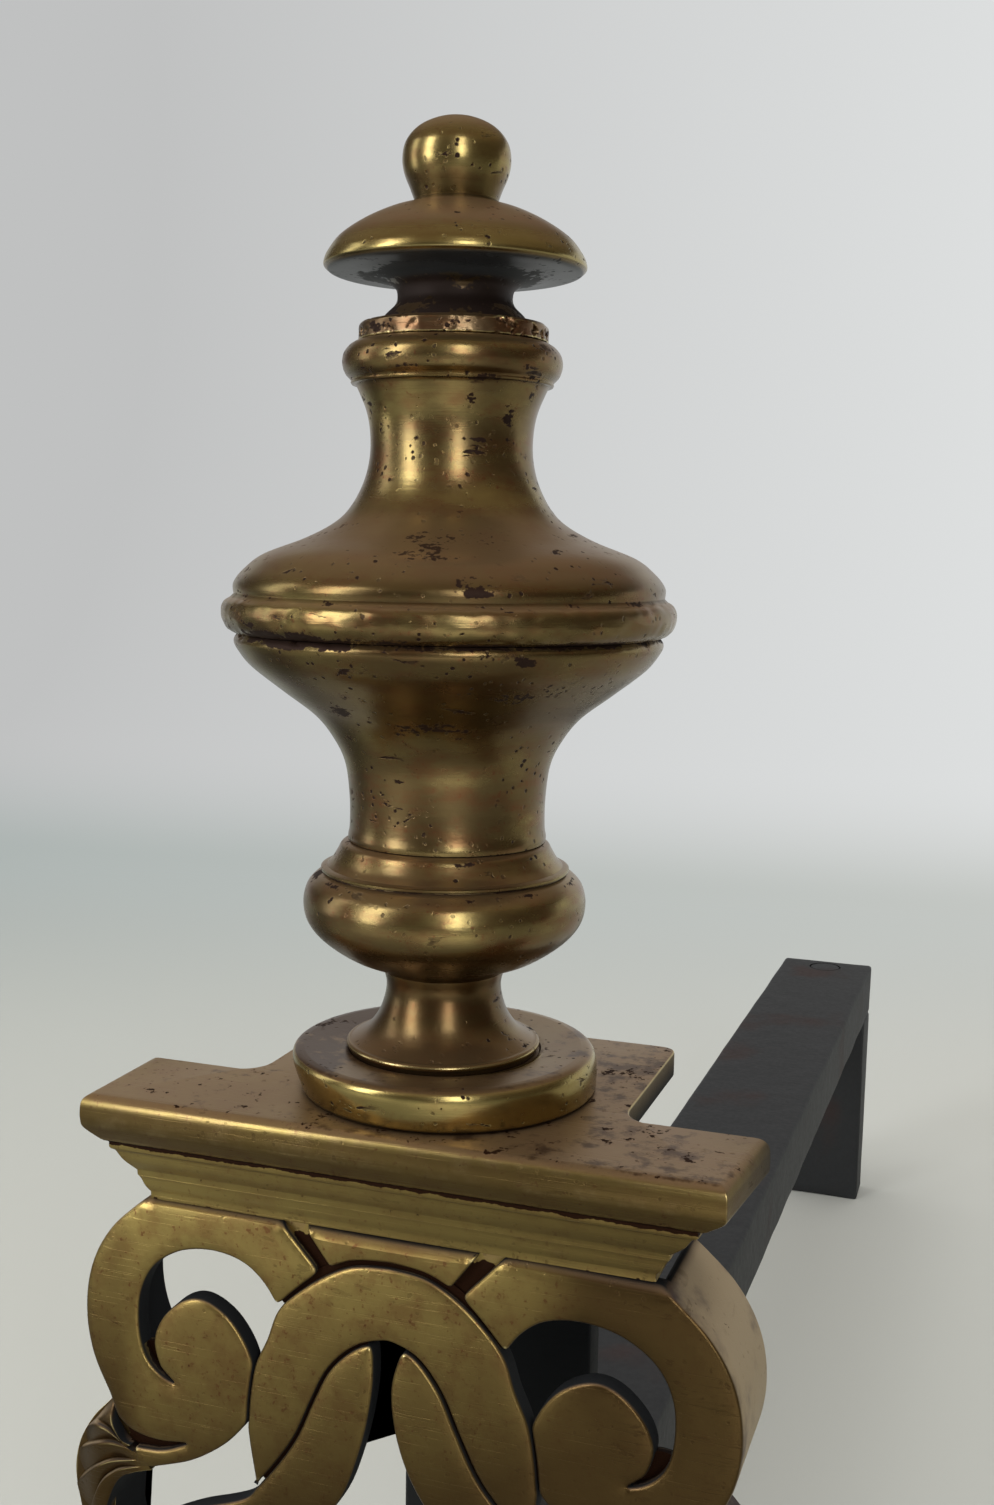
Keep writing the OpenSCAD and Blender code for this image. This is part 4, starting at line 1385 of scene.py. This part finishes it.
    def cores(self) -> list[Shape]:
        """Makes what lies behind the faces: flange, leg, and the webs under the grooves."""
        back = self.face - self.strap + 0.5
        flange = np.vstack([beside(self.scroll_out, -0.02), beside(self.scroll_out, -3)[::-1]])
        inner = self.part(self.lobe_low, -64, -81)
        leg = np.vstack([self.knee_out, self.leg_out, self.leg_in, [(45.4, -98), (51.6, -86)],
                         inner[::-1]])
        solids = [Slab(flange, self.face - self.flange, back, 0.1, 0, under_edge=0.6, grid=40),
                  Slab(leg, self.face - self.leg, back, 0.1, 0, under_edge=1.3, grid=40)]
        solids = [upright(slab.mesh()) for slab in solids]
        deep, shallow = self.face - self.strap + 0.35, self.face - 1.5
        crown = self.arch_out[self.arch_out[:, 0] < 19.2]
        touch = self.part(self.arch_out, -45, -52.6)
        inside = self.arch_in[(self.arch_in[:, 0] > 3.4) & (self.arch_in[:, 0] < 22.8)]
        for line in (crown, touch, inside):
            strip = np.vstack([beside(line, 1.1), beside(line, -1.1)[::-1]])
            if line is crown:
                strip[[0, -1], 0] = -0.5
            solids.append(upright(prism(strip, deep, shallow)))
        crescent = np.vstack([self.part(self.eye_in, -43.8, -50)[::-1] - (1, 0),
                              [(43.2, -43.6), (46.4, -44), (45, -46.4), (42.2, -49.4),
                               (38.9, -50.6)]])
        for pocket, top in (
                ([(19.6, -17.7), (14.6, -17.7), (9.8, -23.1), (12.4, -25.4)], shallow - 0.3),
                ([(51.8, -55.4), *(self.scroll_end[::-1] + (0, 0.6)), (36.0, -60.2),
                  *(self.tail_top - (0, 0.5))], shallow - 0.6),
                (crescent, shallow - 0.9)):
            ring = softened(np.array(pocket), 0.4, 1)
            solids.append(upright(prism(ring, deep, top)))
        return solids

    def mounting(self) -> list[Shape]:
        """Makes the pad foot, and the ear that the screw goes through."""
        x, y = self.foot
        pad = spline([(10.6, HEARTH), (12.3, HEARTH + 0.4), (12.9, HEARTH + 1.5),
                      (12.85, HEARTH + 3), (12, HEARTH + 4.1), (10.2, HEARTH + 4.8),
                      (8.2, HEARTH + 5.5)])
        foot = turned(np.vstack([[(0, HEARTH)], pad, [(0, HEARTH + 5.5)]]), 96, (x, y))
        rear = self.strap - self.face
        ear = joined(block((25.5, rear - 1, -21.5), (34.5, rear + 11.4, -17.5), 0.7),
                     [pin(4.2, (30, rear + 6, -23), (0, 0, 1), 8)], "DIFFERENCE")
        return [foot, ear]

    def build(self) -> Piece:
        """Joins all straps, knees, legs and feet to one casting, as uneven as the real one."""
        halves = [self.scroll(), self.leaf(), self.knee(), *self.cores(), *self.mounting()]
        halves += [flipped(bm) for bm in halves]
        bm = joined(self.arch(), [self.centre(), *halves])
        for vert in bm.verts:
            total, pull = 0.15, Vector((0, 0))
            for (x, z), shift, reach in self.warps:
                near = math.exp(-((vert.co.x - x) ** 2 + (vert.co.z - z) ** 2) / reach**2)
                total += near
                pull += near * Vector(shift)
            vert.co += Vector((pull.x, 0, pull.y)) / total
        return finished("pierced_front_casting", bm, FILED, "pierced_front", marks=front_grime_and_shade)

    def screws(self) -> Piece:
        """Makes both screws, their slotted heads under the ears."""
        seat, rear = -21.5, self.strap - self.face + 6
        both = bmesh.new()
        for x, turn in ((-30, 0.4), (30, 1.3)):
            head = spline([(2.4, seat - 2.8), (3.3, seat - 2.3), (3.8, seat - 1), (3.8, seat)])
            screw = turned(np.vstack([[(0, seat - 2.8)], head, [(2, seat), (2, -9.5),
                                                                 (0, -9.5)]]), 48)
            slot = block((-5, -0.45, seat - 4), (5, 0.45, seat - 1.8), 0.05, 1)
            bmesh.ops.rotate(slot, verts=slot.verts, matrix=Matrix.Rotation(turn, 3, "Z"))
            screw = joined(screw, [slot], "DIFFERENCE")
            bmesh.ops.translate(screw, verts=screw.verts, vec=(x, rear, 0))
            gather(both, screw)
        return finished("front_screws_slotted", both, BOLTS, "front_screws")


# ---- the ironwork --------------------------------------------------------------------


@dataclass
class Ironwork:
    """The upright behind the front, its rivets, the log bar and the rear leg."""

    bar_top: float = -101.0
    bar_t: float = 22.0
    bar_w: float = 40.0
    start: float = 9.0
    upright_y: Pair = (13.0, 33.0)
    upright_w: float = 24.0
    tongue_y: float = 7.0
    tenon: float = 14.0

    def forged(self, bm: Shape, depth: float = 0.25) -> Shape:
        """Cuts a bar into short lengths, then dents it as a hammer does."""
        for axis, step in ((1, 9), (2, 9), (0, 9)):
            spots = [v.co[axis] for v in bm.verts]
            for at in np.arange(min(spots) + step / 2, max(spots), step):
                where, normal = [0.0] * 3, [0.0] * 3
                where[axis], normal[axis] = at, 1.0
                bmesh.ops.bisect_plane(bm, geom=list(bm.verts) + list(bm.edges) + list(bm.faces),
                                       dist=0.01, plane_co=where, plane_no=normal)
        return roughened(bm, depth, 17)

    def build(self) -> None:
        """Builds every iron piece."""
        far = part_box("log_bar")[1].y / MM - AXIS_Y / MM
        low = self.bar_top - self.bar_t
        half = self.bar_w / 2
        middle = sum(self.upright_y) / 2
        rear = far - self.bar_t / 2
        bar = self.forged(block((-half, self.start, low), (half, far, self.bar_top), 1.4))
        for vert in bar.verts:
            vert.co.y = min(far - 0.1, vert.co.y)
        bar = joined(bar, [pin(self.tenon + 0.2, (0, y, low - 2), (0, 0, 1), self.bar_t + 4)
                           for y in (middle, rear)], "DIFFERENCE")
        finished("log_bar_forged", bar, IRON, "log_bar", crease=40)

        leg = block((-half, rear - self.bar_t / 2, HEARTH), (half, far, low), 1.2)
        for vert in leg.verts:
            if vert.co.y > rear:
                vert.co.y -= 4 * (low - vert.co.z) / (low - HEARTH)
        leg = self.forged(leg, 0.2)
        for vert in leg.verts:
            vert.co = (vert.co.x, min(far - 0.1, vert.co.y), max(HEARTH, vert.co.z))
        leg = joined(leg, [turned(np.array([(0, low - 2), (6.9, low - 2), (6.9, self.bar_top - 0.8),
                                            (6.2, self.bar_top - 0.1), (0, self.bar_top)]), 48,
                                  (0, rear))])
        finished("rear_leg_forged", leg, IRON, "rear_leg", crease=40)

        w = self.upright_w / 2
        post = self.forged(block((-w, self.upright_y[0], self.bar_top),
                                 (w, self.upright_y[1], -PLATE_T), 1.0), 0.15)
        peen = turned(np.array([(0, self.bar_top + 2), (6.9, self.bar_top + 2), (6.9, low),
                                (9.6, low), (9.9, low - 0.6), (9.2, low - 1.8), (6, low - 2.5),
                                (0, low - 2.7)]), 48, (0, middle))
        holes = [pin(RIVET_BORE, (0, self.upright_y[0] - 1, z), (0, 1, 0), 22) for z in RIVETS]
        post = joined(joined(post, [peen]), holes, "DIFFERENCE")
        finished("front_upright_forged", post, IRON, "front_upright", crease=40)
        self.rivet_pair()

    def rivet_pair(self) -> Piece:
        """Turns both rivets, with hammered heads."""
        length = self.upright_y[1] - self.tongue_y
        head = spline([(6.3, 0), (6.5, 0.35), (5.6, 1.7), (3.2, 2.8), (0.001, 3.2)])
        outline = np.vstack([[(0, -3.2)], (head * (1, -1))[::-1], [(3.5, 0)], [(3.5, length)],
                             head + (0, length), [(0, length + 3.2)]])
        pair = bmesh.new()
        for z in RIVETS:
            one = turned(outline, 48)
            bmesh.ops.rotate(one, verts=one.verts, matrix=Matrix.Rotation(-math.pi / 2, 3, "X"))
            bmesh.ops.translate(one, verts=one.verts, vec=(0, self.tongue_y, z))
            gather(pair, one)
        roughened(pair, 0.12, 3)
        return finished("tongue_rivets_hammered", pair, BOLTS, "tongue_rivets")


# ---- the studio ----------------------------------------------------------------------


@dataclass(frozen=True)
class Lamp:
    """A soft rectangular lamp, placed by its direction from the column."""

    name: str
    azimuth: float
    elevation: float
    distance: float
    width: float
    height: float
    radiance: float
    mirrored: bool = True


@dataclass
class Studio:
    """A pale floor that sweeps up to a wall, soft lamps and the camera of the photograph."""

    aim: Triple = (0.0, -0.234, 0.27)
    camera_at: Triple = (0.09431, -0.48145, 0.29795)
    azimuth: float = 19.127
    pitch: float = 7.334
    roll: float = 0.892
    lens: float = 38.63
    wall_turn: float = 6.9
    ambient: float = 0.1
    overhead: float = 0.26
    room: str = "#FFE6CB"
    # Painted shade: the backdrop's colours darken towards the left
    wall_shaded_left: str = "#C0C1C1"
    wall_right: str = "#DEE0E0"
    floor_shaded_left: str = "#A9B1AF"
    floor_back: str = "#C5C8C4"
    floor_near: str = "#B6B9B4"
    floor_mirrored: str = "#8C8E8A"
    # Painted dark reflection of the floor at the left, seen only by metal
    floor_dark_reflection: str = "#4C4D4B"
    light_pools: tuple[Triple, ...] = ((-0.38, -0.76, 0.55), (0.21, -0.70, 1.0))
    lamps: tuple[Lamp, ...] = (
        Lamp("window_left", -60, 18, 1.3, 0.37, 1.1, 6.3),
        Lamp("window_right", 11, 18, 1.5, 0.34, 1.2, 5.7),
        Lamp("window_far", -100, 14, 1.3, 0.3, 1.0, 2.2),
        Lamp("ceiling", 180, 80, 1.9, 2.4, 2.4, 2.5, False),
    )

    def camera(self) -> None:
        """Places the camera where the photograph was taken."""
        data = bpy.data.cameras.new("camera")
        data.lens, data.sensor_width, data.clip_start = self.lens, 36, 0.01
        camera = bpy.data.objects.new("camera", data)
        bpy.context.scene.collection.objects.link(camera)
        turn = (Matrix.Rotation(math.radians(self.azimuth), 4, "Z")
                @ Matrix.Rotation(math.radians(90 - self.pitch), 4, "X")
                @ Matrix.Rotation(math.radians(self.roll), 4, "Z"))
        camera.matrix_world = Matrix.Translation(self.camera_at) @ turn
        bpy.context.scene.camera = camera

    def light(self) -> None:
        """Hangs the lamps. Their azimuths count from the camera, to its right."""
        back = math.radians(self.azimuth)
        for lamp in self.lamps:
            data = bpy.data.lights.new(lamp.name, "AREA")
            data.shape, data.size, data.size_y = "RECTANGLE", lamp.width, lamp.height
            data.energy = lamp.radiance * math.pi * lamp.width * lamp.height
            turn = back + math.radians(lamp.azimuth)
            rise = math.radians(lamp.elevation)
            out = Vector((math.sin(turn) * math.cos(rise), -math.cos(turn) * math.cos(rise),
                          math.sin(rise)))
            thing = bpy.data.objects.new(lamp.name, data)
            thing.matrix_world = (Matrix.Translation(Vector(self.aim) + out * lamp.distance)
                                  @ out.to_track_quat("Z", "Y").to_matrix().to_4x4())
            thing.visible_camera = False
            thing.visible_glossy = lamp.mirrored
            bpy.context.scene.collection.objects.link(thing)

    def world(self) -> None:
        """Fills the room with an even light, and shows a pale room past the backdrop."""
        world = bpy.data.worlds.new("room")
        world.use_nodes = True
        tree = world.node_tree
        tree.nodes.clear()
        seen = add(tree, "ShaderNodeLightPath", output="Is Camera Ray")
        ray = add(tree, "ShaderNodeTexCoord", output="Generated")
        rise = add(tree, "ShaderNodeSeparateXYZ", {"Vector": ray}, "Z")
        level = add(tree, RANGE, {0: rise, 1: 0.3, 2: 0.75, 3: self.ambient,
                                  4: self.overhead}, **SMOOTH)
        dim = add(tree, "ShaderNodeBackground", {"Color": linear(self.room),
                                                 "Strength": level})
        pale = add(tree, "ShaderNodeBackground", {"Color": linear(self.wall_right)})
        shader = add(tree, "ShaderNodeMixShader", {0: seen, 1: dim, 2: pale})
        tree.links.new(shader, tree.nodes.new("ShaderNodeOutputWorld").inputs["Surface"])
        bpy.context.scene.world = world

    def backdrop(self) -> Piece:
        """Lays the floor and sweeps it up behind the object to a wall."""
        bm = bmesh.new()
        start, radius = 0.93, 0.8
        turn = np.linspace(0, math.pi / 2, 25)
        arc = [(-4.0, start + radius * math.sin(t), radius - radius * math.cos(t)) for t in turn]
        chain = chain_of(bm, [(-4.0, -4.0, 0.0), *arc, (-4.0, start + radius, 1.3)], False)
        points, _ = extruded(bm, chain)
        bmesh.ops.translate(bm, verts=points, vec=(8, 0, 0))
        bmesh.ops.rotate(bm, verts=bm.verts,
                         matrix=Matrix.Rotation(math.radians(self.wall_turn), 3, "Z"))
        bmesh.ops.recalc_face_normals(bm, faces=bm.faces)
        mesh = bpy.data.meshes.new("backdrop")
        bm.to_mesh(mesh)
        bm.free()
        mesh.shade_smooth()
        mesh.materials.append(self.paper())
        backdrop = bpy.data.objects.new("backdrop", mesh)
        bpy.context.scene.collection.objects.link(backdrop)
        return backdrop

    def paper(self) -> bpy.types.Material:
        """Builds the backdrop's painted board, a matt pale grey that keeps shadows, with painted
        reflections for metal and painted shade towards the left.
        """
        material, tree = new_material("painted_board")
        spot = add(tree, "ShaderNodeTexCoord", output="Object")
        turned_spot = add(tree, MAPPING, {"Vector": spot, "Rotation": (
            0, 0, -math.radians(self.wall_turn))})
        across = add(tree, "ShaderNodeSeparateXYZ", {"Vector": turned_spot}, "X")
        away = add(tree, "ShaderNodeSeparateXYZ", {"Vector": turned_spot}, "Y")
        # Painted shade: the wall and the far floor are coloured darker towards the left, a painted
        # falloff of the light
        side = add(tree, RANGE, {0: across, 1: -0.95, 2: 0.25})
        tone = add(tree, MIX, {FACTOR: side, FIRST: linear(self.wall_shaded_left),
                               SECOND: linear(self.wall_right)}, BLENDED, **COLOURS)
        far = add(tree, MIX, {FACTOR: side, FIRST: linear(self.floor_shaded_left),
                              SECOND: linear(self.floor_back)}, BLENDED, **COLOURS)
        near, back, share, rise = (
            add(tree, RANGE, {0: away, 1: low, 2: high}, **SMOOTH)
            for low, high in ((-0.3, -0.1), (-0.05, 0.6), (0.35, 0.85), (0.9, 1.25)))
        # Metal sees the floor in front darker than it is, with a pool of light from each window
        glossy = add(tree, "ShaderNodeLightPath", output="Is Glossy Ray")
        mirrored_floor = linear(self.floor_mirrored)
        for x, y, strength in self.light_pools:
            gap = add(tree, "ShaderNodeVectorMath", {0: spot, 1: (x, y, 0)}, "Value",
                      operation="DISTANCE")
            pool = add(tree, RANGE, {0: gap, 1: 0.36, 2: 0.06, 4: strength}, **SMOOTH)
            mirrored_floor = add(tree, MIX, {FACTOR: pool, FIRST: mirrored_floor,
                                             SECOND: linear("#F2F2EE")}, BLENDED, **COLOURS)
        colour = add(tree, MIX, {FACTOR: glossy, FIRST: linear(self.floor_near),
                                 SECOND: mirrored_floor}, BLENDED, **COLOURS)
        # Painted reflection: metal sees the floor at the left much darker than it is
        x_spot = add(tree, "ShaderNodeSeparateXYZ", {"Vector": spot}, "X")
        aside = add(tree, RANGE, {0: x_spot, 1: -0.14, 2: -0.32})
        aside = add(tree, MATH, {0: aside, 1: glossy}, operation="MULTIPLY")
        near_with_dark_reflection = add(tree, MIX, {FACTOR: aside, FIRST: linear(self.floor_near),
                                   SECOND: linear(self.floor_dark_reflection)}, BLENDED, **COLOURS)
        for part, over in ((near, near_with_dark_reflection), (back, far), (rise, tone)):
            colour = add(tree, MIX, {FACTOR: part, FIRST: colour, SECOND: over}, BLENDED, **COLOURS)
        matt = add(tree, "ShaderNodeBsdfDiffuse", {"Color": colour})
        glow = add(tree, "ShaderNodeEmission", {"Color": colour, "Strength": 1.0})
        camera = add(tree, "ShaderNodeLightPath", output="Is Camera Ray")
        # The wall is lit only as far as the picture goes: past its left edge metal sees a dark room
        lit = add(tree, RANGE, {0: across, 1: -1.95, 2: -1.7})
        glossy = add(tree, MATH, {0: glossy, 1: lit}, operation="MULTIPLY")
        seen = add(tree, MATH, {0: camera, 1: glossy}, operation="MAXIMUM")
        wall = add(tree, MATH, {0: seen, 1: share}, operation="MULTIPLY")
        shader = add(tree, "ShaderNodeMixShader", {0: wall, 1: matt, 2: glow})
        tree.links.new(shader, tree.nodes.new("ShaderNodeOutputMaterial").inputs["Surface"])
        return material

    def build(self) -> None:
        """Builds camera, lamps, room and backdrop."""
        self.camera()
        self.light()
        self.world()
        self.backdrop()
        bpy.context.scene.view_settings.view_transform = "Standard"


def main() -> None:
    """Builds the scene, piece by piece."""
    noise.seed_set(SEED)
    Studio().build()
    Column().build()
    Plate().build()
    front = PiercedFront()
    front.build()
    front.screws()
    Ironwork().build()


if __name__ == "__main__":
    logging.basicConfig(level=logging.INFO, format="%(name)s %(message)s")
    main()
